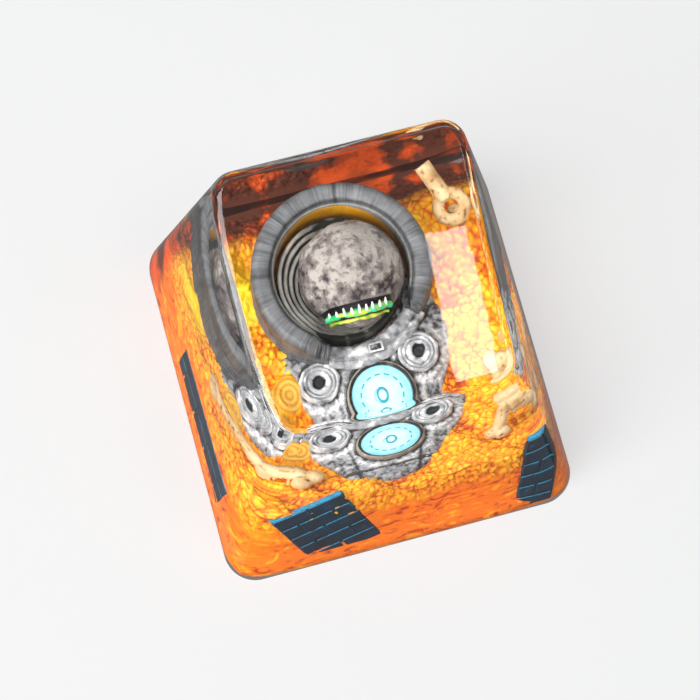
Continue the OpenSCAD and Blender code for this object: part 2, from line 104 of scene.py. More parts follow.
def settle(obj):
    # the piece's place goes into its mesh, as a CAD node's does
    pick(obj)
    bpy.ops.object.transform_apply(location=True, rotation=True, scale=True)


def applyModifiers(obj):
    pick(obj)
    for modifier in list(obj.modifiers):
        bpy.ops.object.modifier_apply(modifier=modifier.name)


def onWhole(*steps):
    # runs each step in edit mode with the whole mesh selected
    bpy.ops.object.mode_set(mode="EDIT")
    for step in steps:
        bpy.ops.mesh.select_all(action="SELECT")
        step()
    bpy.ops.object.mode_set(mode="OBJECT")


def cube(name, size, place, turn=(0, 0, 0)):
    clearSelection()
    bpy.ops.mesh.primitive_cube_add(size=1)
    obj = started(name)
    obj.scale = Vector(size) * mm
    obj.location = Vector(place) * mm
    obj.rotation_euler = turn
    settle(obj)
    return obj


def joined(objects, name):
    pick(*objects)
    if len(objects) > 1:
        bpy.ops.object.join()
    return started(name)


def outward(obj, merge=1e-7):
    pick(obj)
    onWhole(lambda: bpy.ops.mesh.remove_doubles(threshold=merge),
            lambda: bpy.ops.mesh.normals_make_consistent(inside=False))


def smoothBy(obj, degrees):
    pick(obj)
    bpy.ops.object.shade_smooth_by_angle(angle=math.radians(degrees))


def softened(obj, width, segments=2, angle=30):
    bevel = obj.modifiers.new("edges", "BEVEL")
    bevel.width = width * mm
    bevel.segments = segments
    bevel.limit_method = "ANGLE"
    bevel.angle_limit = math.radians(angle)
    applyModifiers(obj)


def refined(obj, levels, simple=False):
    subdivision = obj.modifiers.new("finer", "SUBSURF")
    subdivision.levels = levels
    subdivision.render_levels = levels
    subdivision.subdivision_type = "SIMPLE" if simple else "CATMULL_CLARK"
    applyModifiers(obj)


def sculpted(obj, form):
    # moves each point along its normal and keeps the relief for the paint
    normals = [v.normal.copy() for v in obj.data.vertices]
    relief = obj.data.attributes.get("relief") or obj.data.attributes.new("relief", "FLOAT", "POINT")
    for vertex, normal in zip(obj.data.vertices, normals):
        offset, height = form(vertex.co / mm, normal)
        vertex.co += normal * offset * mm
        relief.data[vertex.index].value = height
    obj.data.update()


def spun(name, profile, centre, steps=96, start=0.0, sweep=360.0):
    # profile: (radius, height) pairs, the corners of a circle primitive, spun round the axis
    clearSelection()
    bpy.ops.mesh.primitive_circle_add(vertices=len(profile), radius=mm, location=(0, 0, 0))
    obj = started(name)
    first = math.radians(start)
    for vertex, (radius, height) in zip(obj.data.vertices, profile):
        vertex.co = Vector((radius * math.cos(first), radius * math.sin(first), height)) * mm
    stages = [lambda: bpy.ops.mesh.spin(steps=steps, angle=-math.radians(sweep), center=(0, 0, 0),
                                        axis=(0, 0, 1)),
              lambda: bpy.ops.mesh.remove_doubles(threshold=1e-6),
              lambda: bpy.ops.mesh.normals_make_consistent(inside=False)]
    if sweep < 360:
        stages.insert(2, lambda: bpy.ops.mesh.fill_holes(sides=0))
    onWhole(*stages)
    obj.location = Vector(centre) * mm
    settle(obj)
    return obj


def pickRim():
    bpy.ops.object.mode_set(mode="EDIT")
    bpy.ops.mesh.select_mode(type="EDGE")
    bpy.ops.mesh.select_all(action="DESELECT")
    bpy.ops.mesh.select_non_manifold(extend=False, use_wire=False, use_multi_face=False,
                                     use_non_contiguous=False, use_verts=False)


def skirted(obj, levels):
    # extrudes the open rim level by level; each level is a function of the rim's u and v
    pick(obj)
    for level in levels:
        pickRim()
        bpy.ops.mesh.extrude_edges_move()
        bpy.ops.object.mode_set(mode="OBJECT")
        u, v, relief = (obj.data.attributes[key].data for key in ("u", "v", "relief"))
        for vertex in obj.data.vertices:
            if vertex.select:
                point, height = level(u[vertex.index].value, v[vertex.index].value)
                vertex.co = Vector(point) * mm
                relief[vertex.index].value = height
    pickRim()
    bpy.ops.mesh.edge_face_add()
    bpy.ops.mesh.select_all(action="SELECT")
    bpy.ops.mesh.normals_make_consistent(inside=False)
    bpy.ops.mesh.select_mode(type="VERT")
    bpy.ops.object.mode_set(mode="OBJECT")


def moulded(name, cells, place):
    # a grid whose points are laid by place(u, v), which gives the point and its relief
    clearSelection()
    bpy.ops.mesh.primitive_grid_add(x_subdivisions=cells, y_subdivisions=cells, size=2)
    obj = started(name)
    for key in ("u", "v", "relief"):
        obj.data.attributes.new(key, "FLOAT", "POINT")
    u, v, relief = (obj.data.attributes[key].data for key in ("u", "v", "relief"))
    for index, vertex in enumerate(obj.data.vertices):
        across, along = vertex.co.x, vertex.co.y
        u[index].value, v[index].value = across, along
        point, height = place(across, along)
        vertex.co = Vector(point) * mm
        relief[index].value = height
    return obj


def clamp(value, low=0.0, high=1.0):
    return max(low, min(high, value))


def ease(value, low, high):
    t = clamp((value - low) / (high - low))
    return t * t * (3 - 2 * t)


# Node helpers: a socket given as another node's output is linked, anything else is set.
def node(tree, kind, sockets=None, **settings):
    made = tree.nodes.new(kind)
    for key, value in settings.items():
        setattr(made, key, value)
    for key, value in (sockets or {}).items():
        if isinstance(value, bpy.types.NodeSocket):
            tree.links.new(value, made.inputs[key])
        else:
            made.inputs[key].default_value = value
    return made


def emptied(holder):
    holder.use_nodes = True
    holder.node_tree.nodes.clear()
    return holder.node_tree


def newMaterial(name):
    # gives the object's coordinates in millimetres too
    material = bpy.data.materials.new(name)
    tree = emptied(material)
    shader = node(tree, "ShaderNodeBsdfPrincipled")
    node(tree, "ShaderNodeOutputMaterial", {"Surface": shader.outputs[0]})
    place = node(tree, "ShaderNodeTexCoord").outputs["Object"]
    return material, tree, shader, vector(tree, "SCALE", place, {3: 1 / mm})


def vector(tree, operation, first, other=None):
    # other: the second vector, or a socket and its value
    sockets = other if isinstance(other, dict) else {} if other is None else {1: other}
    made = node(tree, "ShaderNodeVectorMath", {0: first, **sockets}, operation=operation)
    return made.outputs["Value" if operation == "LENGTH" else "Vector"]


def partsOf(tree, place):
    return node(tree, "ShaderNodeSeparateXYZ", {0: place}).outputs


def grain(tree, place, scale, detail=4.0, roughness=0.6, distortion=0.0, squash=None):
    if squash:
        place = node(tree, "ShaderNodeMapping", {"Vector": place, "Scale": squash}).outputs[0]
    return node(tree, "ShaderNodeTexNoise", {"Vector": place, "Scale": scale, "Detail": detail,
                                             "Roughness": roughness,
                                             "Distortion": distortion}).outputs["Fac"]


def ramp(tree, factor, stops):
    made = node(tree, "ShaderNodeValToRGB", {"Fac": factor})
    elements = made.color_ramp.elements
    while len(elements) < len(stops):
        elements.new(0.5)
    for element, (position, colour) in zip(elements, stops):
        element.position = position
        element.color = (*colour, 1)
    return made.outputs[0]


def rising(tree, factor, low, high):
    return ramp(tree, factor, [(low, (0.0,) * 3), (high, (1.0,) * 3)])


def mapped(tree, value, low, high, first=0.0, last=1.0):
    return node(tree, "ShaderNodeMapRange", {"Value": value, "From Min": low, "From Max": high,
                                             "To Min": first, "To Max": last}).outputs[0]


def mixed(tree, factor, first, second):
    made = node(tree, "ShaderNodeMix", data_type="RGBA")
    for index, value in ((0, factor), (6, first), (7, second)):
        if isinstance(value, bpy.types.NodeSocket):
            tree.links.new(value, made.inputs[index])
        else:
            made.inputs[index].default_value = (*value, 1)
    return made.outputs[2]


def maths(tree, operation, first, second=0.0, clampIt=False):
    return node(tree, "ShaderNodeMath", {0: first, 1: second}, operation=operation,
                use_clamp=clampIt).outputs[0]


def varied(tree, value, grains, amount, clampIt=False):
    # a noise that swings round 0.5 is added to the value
    swing = maths(tree, "MULTIPLY", maths(tree, "SUBTRACT", grains, 0.5), amount)
    return maths(tree, "ADD", value, swing, clampIt)


def reliefOf(tree):
    return node(tree, "ShaderNodeAttribute", attribute_name="relief").outputs["Fac"]


def coated(tree, shader, colour, roughness, metallic=0.0):
    tree.links.new(colour, shader.inputs["Base Color"])
    shader.inputs["Roughness"].default_value = roughness
    shader.inputs["Metallic"].default_value = metallic


def bumped(tree, shader, height, distance, strength=1.0):
    bump = node(tree, "ShaderNodeBump", {"Height": height, "Distance": distance * mm,
                                         "Strength": strength})
    tree.links.new(bump.outputs[0], shader.inputs["Normal"])


def ready(obj, material, nodes):
    if material:
        obj.data.materials.clear()
        obj.data.materials.append(material)
    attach(obj, "root")
    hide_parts(*nodes)
    print(obj.name, "ready,", len(obj.data.polygons), "faces")


# Camera: solved from the outline and the four top corners in the photograph.
view = {
    "eye": (-14.122, -21.092, 122.317),
    "right": (0.9623, -0.2649, 0.0619),
    "up": (0.2479, 0.9477, 0.2010),
    "back": (-0.1119, -0.1781, 0.9776),
    "focal": 2422.58,     # in pixels
    "frame": 700,         # width of the picture in pixels
    "sensor": 36.0,
}
camera = bpy.data.objects.new("camera", bpy.data.cameras.new("camera"))
bpy.context.scene.collection.objects.link(camera)
camera.data.sensor_width = view["sensor"]
camera.data.sensor_fit = "HORIZONTAL"
camera.data.lens = view["focal"] / view["frame"] * view["sensor"]
camera.data.clip_start = 0.005
camera.data.clip_end = 5.0
axes = [Vector(view[key]).normalized() for key in ("right", "up", "back")]
turn = Matrix(axes).transposed().to_4x4()
camera.matrix_world = Matrix.Translation(Vector(view["eye"]) * mm) @ turn
bpy.context.scene.camera = camera
bpy.context.scene.view_settings.view_transform = "Standard"
print("camera placed")


# Paints and finishes

def resinMaterial():
    # clear casting resin; shadow rays pass so that the lamps reach the sealed scene
    finish = {"index": 1.54, "roughness": 0.015, "tint": (1.0, 0.985, 0.96),
              "shadowTint": (0.97, 0.96, 0.94), "waveScale": 0.55, "waveHeight": 0.05}
    material, tree, shader, place = newMaterial("clearResin")
    shader.inputs["Base Color"].default_value = (*finish["tint"], 1)
    shader.inputs["Roughness"].default_value = finish["roughness"]
    shader.inputs["IOR"].default_value = finish["index"]
    shader.inputs["Transmission Weight"].default_value = 1.0
    bumped(tree, shader, grain(tree, place, finish["waveScale"], 1.0, 0.4), finish["waveHeight"], 0.04)
    passing = node(tree, "ShaderNodeBsdfTransparent", {"Color": (*finish["shadowTint"], 1)})
    path = node(tree, "ShaderNodeLightPath")
    blend = node(tree, "ShaderNodeMixShader", {"Fac": path.outputs["Is Shadow Ray"],
                                               1: shader.outputs[0], 2: passing.outputs[0]})
    tree.links.new(blend.outputs[0], tree.nodes["Material Output"].inputs["Surface"])
    return material


rockShape = {"cells": 228, "level": 5.55, "inset": 0.42, "backInset": 0.16, "hollowInset": 1.56,
             "hollowTop": 4.66, "nodule": 2.7, "noduleHeight": 0.15, "lumpHeight": 0.3,
             "ditch": 1.5, "ditchFrom": 0.8, "lowest": 0.1, "pebble": (-4.5, -1.15),
             "pebbleRadius": 0.85}


def groundMaterial():
    paint = {
        "crevice": (0.26, 0.022, 0.002),
        "deep": (0.66, 0.12, 0.004),
        "body": (0.96, 0.33, 0.006),
        "bright": (1.0, 0.46, 0.008),
        "tip": (1.0, 0.66, 0.03),
        "poured": (0.88, 0.19, 0.003),
        "pouredLight": (1.0, 0.42, 0.008),
        "pouredDark": (0.40, 0.04, 0.003),
        "backShade": (0.10, 0.022, 0.008),
        "backShadeRed": (0.75, 0.09, 0.004),
        "paintedGlow": (1.0, 0.70, 0.008),
        "amber": (0.62, 0.27, 0.02),
        "amberLight": (0.92, 0.56, 0.10),
    }
    material, tree, shader, place = newMaterial("rockPaint")
    speckle = grain(tree, place, 3.2, 5.0, 0.65)
    mottle = grain(tree, place, 0.45, 3.0, 0.55)
    level = varied(tree, varied(tree, reliefOf(tree), speckle, 0.55), mottle, 0.5, True)
    # dry-brushed paint laid by the relief: dark red in the crevices between nodules and yellow on their tips,
    # which is also painted shade in the crevices and painted highlight on the tips
    rock = ramp(tree, level, [(0.08, paint["crevice"]), (0.26, paint["deep"]), (0.45, paint["body"]),
                              (0.66, paint["bright"]), (0.86, paint["tip"])])
    swirl = grain(tree, place, 0.7, 4.0, 0.55, 2.2, (1.0, 1.0, 1.7))
    poured = ramp(tree, swirl, [(0.32, paint["pouredDark"]), (0.46, paint["poured"]),
                                (0.56, paint["poured"]), (0.66, paint["pouredLight"])])
    x, y, z = partsOf(tree, place)
    upper = mapped(tree, varied(tree, z, mottle, 2.6), 3.6, 4.5)
    colour = mixed(tree, upper, poured, rock)

    def near(centre, stretch, low, high):
        # 1 round the centre, 0 beyond, with a ragged edge
        local = vector(tree, "MULTIPLY", vector(tree, "SUBTRACT", place, centre), stretch)
        reach = vector(tree, "LENGTH", local)
        return mapped(tree, varied(tree, reach, mottle, 0.6), low, high, 1.0, 0.0), reach

    # painted light: a pale yellow pool at the back left
    paintedGlow = near((-5.7, 4.6, 5.5), (1.0, 0.55, 0.4), 0.6, 1.5)[0]
    colour = mixed(tree, maths(tree, "MULTIPLY", paintedGlow, 0.75), colour, paint["paintedGlow"])
    # a banded amber pebble
    pebble, reach = near((*rockShape["pebble"], 5.7), (1.0, 0.8, 0.3), 0.72, 0.84)
    layers = maths(tree, "ADD", maths(tree, "SINE", maths(tree, "MULTIPLY", reach, 26.0)), 1.0)
    stone = mixed(tree, maths(tree, "MULTIPLY", layers, 0.4), paint["amber"], paint["amberLight"])
    colour = mixed(tree, pebble, colour, stone)
    # the ditch at the back is painted in shade: dark brown with red patches
    behind = mapped(tree, varied(tree, y, mottle, 1.2), 6.3, 7.3)
    patches = ramp(tree, grain(tree, place, 0.5, 3.0, 0.5, 0.5), [(0.5, paint["backShade"]),
                                                                (0.62, paint["backShadeRed"])])
    coated(tree, shader, mixed(tree, behind, colour, patches), 0.42)
    shader.inputs["Specular IOR Level"].default_value = 0.3
    bumped(tree, shader, maths(tree, "MULTIPLY", speckle, upper), 0.12, 0.8)
    return material


plainPaint = {"fine": 3.5, "broad": 1.4, "speckle": 0.5, "washed": (0.25, 0.5),
              "brushed": (0.7, 0.95), "roughness": 0.5, "bump": 0.04, "metal": 0.0}


def paintedMaterial(name, **changes):
    # a base coat, a darker wash that stays in the hollows, and pale dry brushing on what stands out; where a
    # piece's relief follows the light, these colours also lay painted shade and painted highlight
    paint = {**plainPaint, **changes}
    material, tree, shader, place = newMaterial(name)
    fine = grain(tree, place, paint["fine"], 6.0, 0.7, 0.4)
    broad = grain(tree, place, paint["broad"], 3.0, 0.55, 0.8)
    coat = mixed(tree, rising(tree, broad, 0.35, 0.65), paint["base"], paint["second"])
    lift = varied(tree, reliefOf(tree), fine, paint["speckle"], True)
    washed = mixed(tree, rising(tree, lift, *paint["washed"]), paint["wash"], coat)
    brushed = mixed(tree, rising(tree, lift, *paint["brushed"]), washed, paint["brush"])
    coated(tree, shader, brushed, paint["roughness"], paint["metal"])
    bumped(tree, shader, fine, paint["bump"], 0.7)
    return material


def ringMaterial():
    # worn grey metal paint with fine strokes that run across the band
    paint = {"dark": (0.016, 0.018, 0.021), "body": (0.072, 0.078, 0.086), "light": (0.22, 0.23, 0.245),
             "run": (1.0, 0.48, 0.012), "wall": (0.34, 0.34, 0.33)}
    material, tree, shader, place = newMaterial("helmetMetal")
    x, y, z = partsOf(tree, vector(tree, "SUBTRACT", place, (*places["ring"], 0.0)))
    flat = node(tree, "ShaderNodeCombineXYZ", {0: x, 1: y}).outputs[0]
    radius = vector(tree, "LENGTH", flat)
    along = vector(tree, "NORMALIZE", flat)
    drift = maths(tree, "MULTIPLY", maths(tree, "ADD", radius, z), 0.35)
    strokes = vector(tree, "ADD", vector(tree, "SCALE", along, {3: 36.0}),
                     node(tree, "ShaderNodeCombineXYZ", {2: drift}).outputs[0])
    stroke = grain(tree, strokes, 1.0, 5.0, 0.75)
    cloud = grain(tree, place, 1.1, 4.0, 0.6)
    lift = varied(tree, varied(tree, reliefOf(tree), stroke, 0.55), cloud, 0.6, True)
    colour = ramp(tree, lift, [(0.12, paint["dark"]), (0.48, paint["body"]), (0.86, paint["light"])])
    # the inner wall is painted paler, painted light that lifts the shade inside the ring, and orange resin
    # has run down it behind the head
    inner = mapped(tree, radius, 3.30, 3.36, 1.0, 0.0)
    pale = maths(tree, "MULTIPLY", inner, maths(tree, "ADD", 0.25, stroke), True)
    colour = mixed(tree, pale, colour, paint["wall"])
    southward = maths(tree, "SUBTRACT", 1.0, partsOf(tree, along)[1])
    brim = maths(tree, "SUBTRACT", 8.5, maths(tree, "MULTIPLY", southward, 1.9))
    under = mapped(tree, maths(tree, "SUBTRACT", varied(tree, brim, cloud, 0.25), z), 0.0, 0.06)
    colour = mixed(tree, maths(tree, "MULTIPLY", under, inner), colour, paint["run"])
    coated(tree, shader, colour, 0.42, 0.2)
    bumped(tree, shader, stroke, 0.05, 0.8)
    return material


def discMaterial():
    paint = {"rim": (0.22, 0.60, 0.74), "middle": (0.52, 0.80, 0.86)}
    material, tree, shader, place = newMaterial("discBlue")
    local = vector(tree, "SUBTRACT", place, (*places["dial"], 0.0))
    radius = vector(tree, "LENGTH", vector(tree, "MULTIPLY", local, (1.0, 1.0, 0.0)))
    cloud = grain(tree, place, 2.2, 4.0, 0.6)
    reach = maths(tree, "DIVIDE", varied(tree, radius, cloud, 1.2), 1.5)
    coated(tree, shader, ramp(tree, reach, [(0.45, paint["middle"]), (0.98, paint["rim"])]), 0.3)
    bumped(tree, shader, cloud, 0.03, 0.5)
    return material


def stippledMaterial(name, stops, grains, amount, roughness, distance):
    # colours laid by the relief and a fine grain, or by the grain alone where amount is 0
    material, tree, shader, place = newMaterial(name)
    fine = grain(tree, place, *grains)
    lift = varied(tree, reliefOf(tree), fine, amount, True) if amount else fine
    coated(tree, shader, ramp(tree, lift, stops), roughness)
    bumped(tree, shader, fine, distance, 0.6)
    return material


resin = resinMaterial()
rock = groundMaterial()
helmetMetal = ringMaterial()
ribWhite = paintedMaterial(
    "ribWhite", base=(0.52, 0.51, 0.47), second=(0.38, 0.37, 0.33), wash=(0.025, 0.025, 0.02),
    brush=(0.80, 0.80, 0.76), fine=3.0, broad=1.2, speckle=0.35, washed=(0.18, 0.42), roughness=0.55)
headStone = paintedMaterial(
    "headStone", base=(0.215, 0.185, 0.17), second=(0.125, 0.105, 0.105), wash=(0.018, 0.012, 0.018),
    brush=(0.40, 0.37, 0.345), fine=4.6, broad=0.9, speckle=1.1, washed=(0.16, 0.58),
    brushed=(0.70, 1.0), roughness=0.62, bump=0.09)
suitGrey = paintedMaterial(
    "suitGrey", base=(0.36, 0.37, 0.39), second=(0.22, 0.225, 0.24), wash=(0.02, 0.021, 0.025),
    brush=(0.72, 0.72, 0.74), fine=3.0, broad=1.3, speckle=1.0, washed=(0.14, 0.40),
    brushed=(0.50, 0.76), roughness=0.45, bump=0.09)
claspMetal = paintedMaterial(
    "claspMetal", base=(0.42, 0.43, 0.45), second=(0.25, 0.26, 0.28), wash=(0.02, 0.02, 0.022),
    brush=(0.8, 0.8, 0.82), fine=5.0, broad=2.0, speckle=0.6, washed=(0.2, 0.4), brushed=(0.65, 0.9),
    roughness=0.4, metal=0.4)
portGrey = paintedMaterial(
    "portGrey", base=(0.42, 0.43, 0.45), second=(0.26, 0.27, 0.29), wash=(0.012, 0.013, 0.016),
    brush=(0.72, 0.72, 0.74), fine=3.4, speckle=1.0, brushed=(0.66, 0.9), roughness=0.45, bump=0.05)
bezelTan = paintedMaterial(
    "bezelTan", base=(0.20, 0.17, 0.14), second=(0.30, 0.26, 0.22), wash=(0.006, 0.006, 0.006),
    brush=(0.60, 0.56, 0.52), speckle=0.8, washed=(0.26, 0.50))
toothWhite = paintedMaterial(
    "toothWhite", base=(0.72, 0.86, 0.74), second=(0.90, 0.93, 0.88), wash=(0.02, 0.34, 0.13),
    brush=(0.96, 0.97, 0.95), fine=4.0, broad=3.0, speckle=0.35, washed=(0.25, 0.55), roughness=0.25,
    bump=0.02)
glaze = {"fine": 4.5, "broad": 2.4, "speckle": 0.7, "washed": (0.2, 0.42), "brushed": (0.62, 0.85),
         "bump": 0.03}
gumGreen = paintedMaterial(
    "gumGreen", base=(0.02, 0.50, 0.14), second=(0.03, 0.62, 0.34), wash=(0.004, 0.07, 0.03),
    brush=(0.45, 0.62, 0.05), roughness=0.2, **glaze)
lipYellow = paintedMaterial(
    "lipYellow", base=(0.20, 0.42, 0.03), second=(0.42, 0.44, 0.03), wash=(0.01, 0.06, 0.02),
    brush=(0.62, 0.66, 0.10), roughness=0.25, **glaze)
stemDark = paintedMaterial(
    "stemResin", base=(0.16, 0.055, 0.018), second=(0.11, 0.036, 0.012), wash=(0.06, 0.018, 0.006),
    brush=(0.22, 0.085, 0.03), fine=2.0, broad=0.5, speckle=0.4, washed=(0.1, 0.45),
    brushed=(0.7, 1.0), roughness=0.35, bump=0.02)
tickTeal = paintedMaterial(
    "tickTeal", base=(0.02, 0.30, 0.40), second=(0.03, 0.42, 0.52), wash=(0.01, 0.12, 0.18),
    brush=(0.10, 0.55, 0.64), fine=6.0, broad=2.0, washed=(0.1, 0.3), roughness=0.35, bump=0.02)
discBlue = discMaterial()
boneTan = stippledMaterial("bonePaint", [(0.12, (0.22, 0.09, 0.02)), (0.42, (0.52, 0.32, 0.13)),
                                         (0.8, (0.72, 0.54, 0.30))], (3.0, 5.0, 0.6, 0.6), 0.7, 0.5, 0.06)
brickBlue = stippledMaterial("brickBlue", [(0.15, (0.001, 0.005, 0.012)), (0.5, (0.002, 0.020, 0.045)),
                                           (0.85, (0.008, 0.130, 0.250))], (4.5, 5.0, 0.65), 0.5, 0.5, 0.06)
brickTopHighlight = stippledMaterial("brickTopHighlightBlue", [(0.35, (0.02, 0.16, 0.28)), (0.55, (0.02, 0.34, 0.62))],
                             (3.5, 5.0, 0.65), 0, 0.45, 0.05)
print("materials made")


def topEdge():
    # the middle of the rounded top edge in plan: front, corner, side and back corner of each half
    frontY, backY, corner = keycap["front"][0], keycap["back"][0], keycap["topRound"]
    path = []
    for side, bow, inward in ((-1, keycap["leftBow"], 0.0), (1, keycap["rightBow"], keycap["rightIn"])):
        def edgeX(t):
            return keycap["topHalf"] - inward + bow * (1 - t * t) + keycap["topFlare"] * (t + 1) / 2

        def addCorner(t, first, y):
            for k in range(7):
                turn = math.radians(first + 15 * k)
                path.append((side * (edgeX(t) - corner * (1 - math.cos(turn))),
                             y + corner * (math.sin(turn) - t)))

        for k in range(7):
            t = 0.86 * k / 6
            path.append((side * t * keycap["topHalf"], frontY - keycap["frontBow"] * (1 - t * t)))
        addCorner(-1, -90, frontY)
        for k in range(1, 16):
            t = -0.9 + 1.8 * k / 16
            path.append((side * edgeX(t), (frontY + backY) / 2 + t * (backY - frontY) / 2))
        addCorner(1, 0, backY)
    return path


# Clear resin: four upright corners at the skirt and a row of balls round the top, in one hull
def makeResin():
    hollow = {"foot": (-0.6, 1.5), "top": (4.6, 1.7)}      # height, and inset from the walls
    parts = []
    half = keycap["half"] - keycap["baseRadius"]
    for sideX, sideY in ((-1, -1), (-1, 1), (1, -1), (1, 1)):
        clearSelection()
        bpy.ops.mesh.primitive_cylinder_add(
            vertices=96, radius=keycap["baseRadius"] * mm, depth=keycap["band"] * mm,
            location=(sideX * half * mm, sideY * half * mm, keycap["band"] / 2 * mm))
        parts.append(bpy.context.object)
    frontY, frontZ = keycap["front"]
    backY, backZ = keycap["back"]
    slope = (backZ - frontZ) / (backY - frontY)
    for x, y in topEdge():
        clearSelection()
        bpy.ops.mesh.primitive_uv_sphere_add(
            segments=48, ring_count=24, radius=keycap["topRadius"] * mm,
            location=Vector((x, y, frontZ + slope * (y - frontY))) * mm)
        parts.append(bpy.context.object)
    body = joined(parts, "clearResin")
    settle(body)
    onWhole(lambda: bpy.ops.mesh.convex_hull())
    outward(body)
    # the hollow that the stem block fills
    cutter = cube("hollowCutter", (2, 2, 2), (0, 0, 0))
    for vertex in cutter.data.vertices:
        z, inset = hollow["top" if vertex.co.z > 0 else "foot"]
        x = wallX(z, inset) * (1 if vertex.co.x > 0 else -1)
        y = wallBack(z, inset) if vertex.co.y > 0 else wallFront(z, inset)
        vertex.co = Vector((x, y, z)) * mm
    cut = body.modifiers.new("hollow", "BOOLEAN")
    cut.operation = "DIFFERENCE"
    cut.solver = "EXACT"
    cut.object = cutter
    applyModifiers(body)
    bpy.data.objects.remove(cutter)
    smoothBy(body, 32)
    weighted = body.modifiers.new("flats", "WEIGHTED_NORMAL")
    weighted.mode = "FACE_AREA"
    weighted.weight = 100
    weighted.keep_sharp = True
    applyModifiers(body)
    ready(body, resin, ["resin_block"])


# Stem block: the CAD node's own form with its edges broken
def makeStem():
    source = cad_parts["stem_base"]
    block = source.copy()
    block.data = source.data.copy()
    for key in list(block.keys()):
        del block[key]
    block.parent = None
    bpy.context.scene.collection.objects.link(block)
    pick(block)
    started("stemBlock")
    outward(block, 1e-6)
    onWhole(lambda: bpy.ops.mesh.dissolve_limited(angle_limit=math.radians(1)))
    softened(block, 0.07, 2, 35)
    smoothBy(block, 35)
    sculpted(block, lambda p, n: (0.0, 0.5 + 0.3 * noise.noise(p * 0.6)))
    ready(block, stemDark, ["stem_base"])


# Rocky ground: broad lumps as in the CAD node, with nodules and grit on them
def tuck(u, v):
    return 1 - 0.055 * abs(u * v) ** 5


def groundSpot(u, v, z, inset, backInset=None):
    x = u * wallX(z, inset) * tuck(u, v)
    front, back = wallFront(z, inset), wallBack(z, inset if backInset is None else backInset)
    return (x, (front + back) / 2 + v * (back - front) / 2 * tuck(u, v), z)


def wave(degrees):
    return math.sin(math.radians(degrees))


def broadHeight(u, v):
    bump = wave(410 * u + 130 * v) * wave(90 + 380 * v - 90 * u) \
        + 0.7 * wave(760 * u - 250 * v + 40) * wave(690 * v + 300 * u) \
        + 0.45 * wave(90 + 1130 * u + 880 * v)
    calm = clamp(1.9 * (u * u + v * v) - 0.2, 0.12, 1.0) * (0.4 if v > 0.75 else 1.0)
    fall = rockShape["ditch"] * max(0.0, v - rockShape["ditchFrom"]) / (1 - rockShape["ditchFrom"])
    return rockShape["level"] + rockShape["lumpHeight"] * bump * calm - fall, bump


def nodules(place):
    # rounded grains with creases between them; gives height and relief
    warp = Vector((noise.noise(place * 1.7), noise.noise(place * 1.7 + Vector((9, 9, 9))), 0)) * 0.25
    distances = noise.voronoi((place + warp) * rockShape["nodule"])[0]
    dome = 1 - clamp(distances[0] * 1.35)
    crease = clamp((distances[1] - distances[0]) * 3.0)
    fine = noise.turbulence(place * 6.0, 3, False)
    height = rockShape["noduleHeight"] * (dome * 0.7 + crease * 0.5 - 0.5) + 0.05 * fine
    return height, 0.22 + 0.34 * crease + 0.30 * dome


def rockPlace(u, v):
    base, bump = broadHeight(u, v)
    spot = groundSpot(u, v, base, rockShape["inset"])
    height, relief = nodules(Vector(spot))
    rim = 1 - ease(max(abs(u), abs(v)), 0.97, 1.0)
    away = math.hypot(spot[0] - rockShape["pebble"][0], (spot[1] - rockShape["pebble"][1]) * 0.8)
    pebble = math.sqrt(max(0.0, 1 - (away / rockShape["pebbleRadius"]) ** 2))
    lift = height * (1 - ease(pebble, 0.0, 0.3)) + 0.34 * pebble
    return groundSpot(u, v, base + rim * lift, rockShape["inset"]), relief + 0.08 * bump


def makeGround():
    land = moulded("rockGround", rockShape["cells"], rockPlace)

    def flank(share):
        def level(u, v):
            z = rockShape["lowest"] + (broadHeight(u, v)[0] - rockShape["lowest"]) * share
            spot = groundSpot(u, v, z, rockShape["inset"])
            height, relief = nodules(Vector(spot))
            rough = ease(z, 3.4, 4.4)
            inset = max(rockShape["inset"] + 0.02 - height * rough, 0.34) - 0.22 * (1 - ease(z, 0.6, 1.9))
            return groundSpot(u, v, z, inset, rockShape["backInset"]), relief
        return level

    shares = [1 - 0.028 * k for k in range(1, 16)]      # close levels at the top, wide ones below
    shares += [0.53, 0.47, 0.41, 0.35, 0.29, 0.23, 0.17, 0.11, 0.06, 0.02, 0.0]
    levels = [flank(share) for share in shares]
    levels += [lambda u, v: (groundSpot(u, v, 0.4, 1.0), 0.3),
               lambda u, v: (groundSpot(u, v, rockShape["lowest"], rockShape["hollowInset"]), 0.3),
               lambda u, v: (groundSpot(u, v, min(rockShape["hollowTop"], broadHeight(u, v)[0] - 0.3),
                                        rockShape["hollowInset"]), 0.3)]
    skirted(land, levels)
    smoothBy(land, 50)
    ready(land, rock, ["ground"])


# Helmet ring: a broken tube with a stepped lip
ringShape = {"centre": (*places["ring"], 5.0), "inner": 3.25, "outer": 4.35, "height": 4.0,
             "start": -39.0, "sweep": 286.0, "steps": 460, "sinking": 18.0}


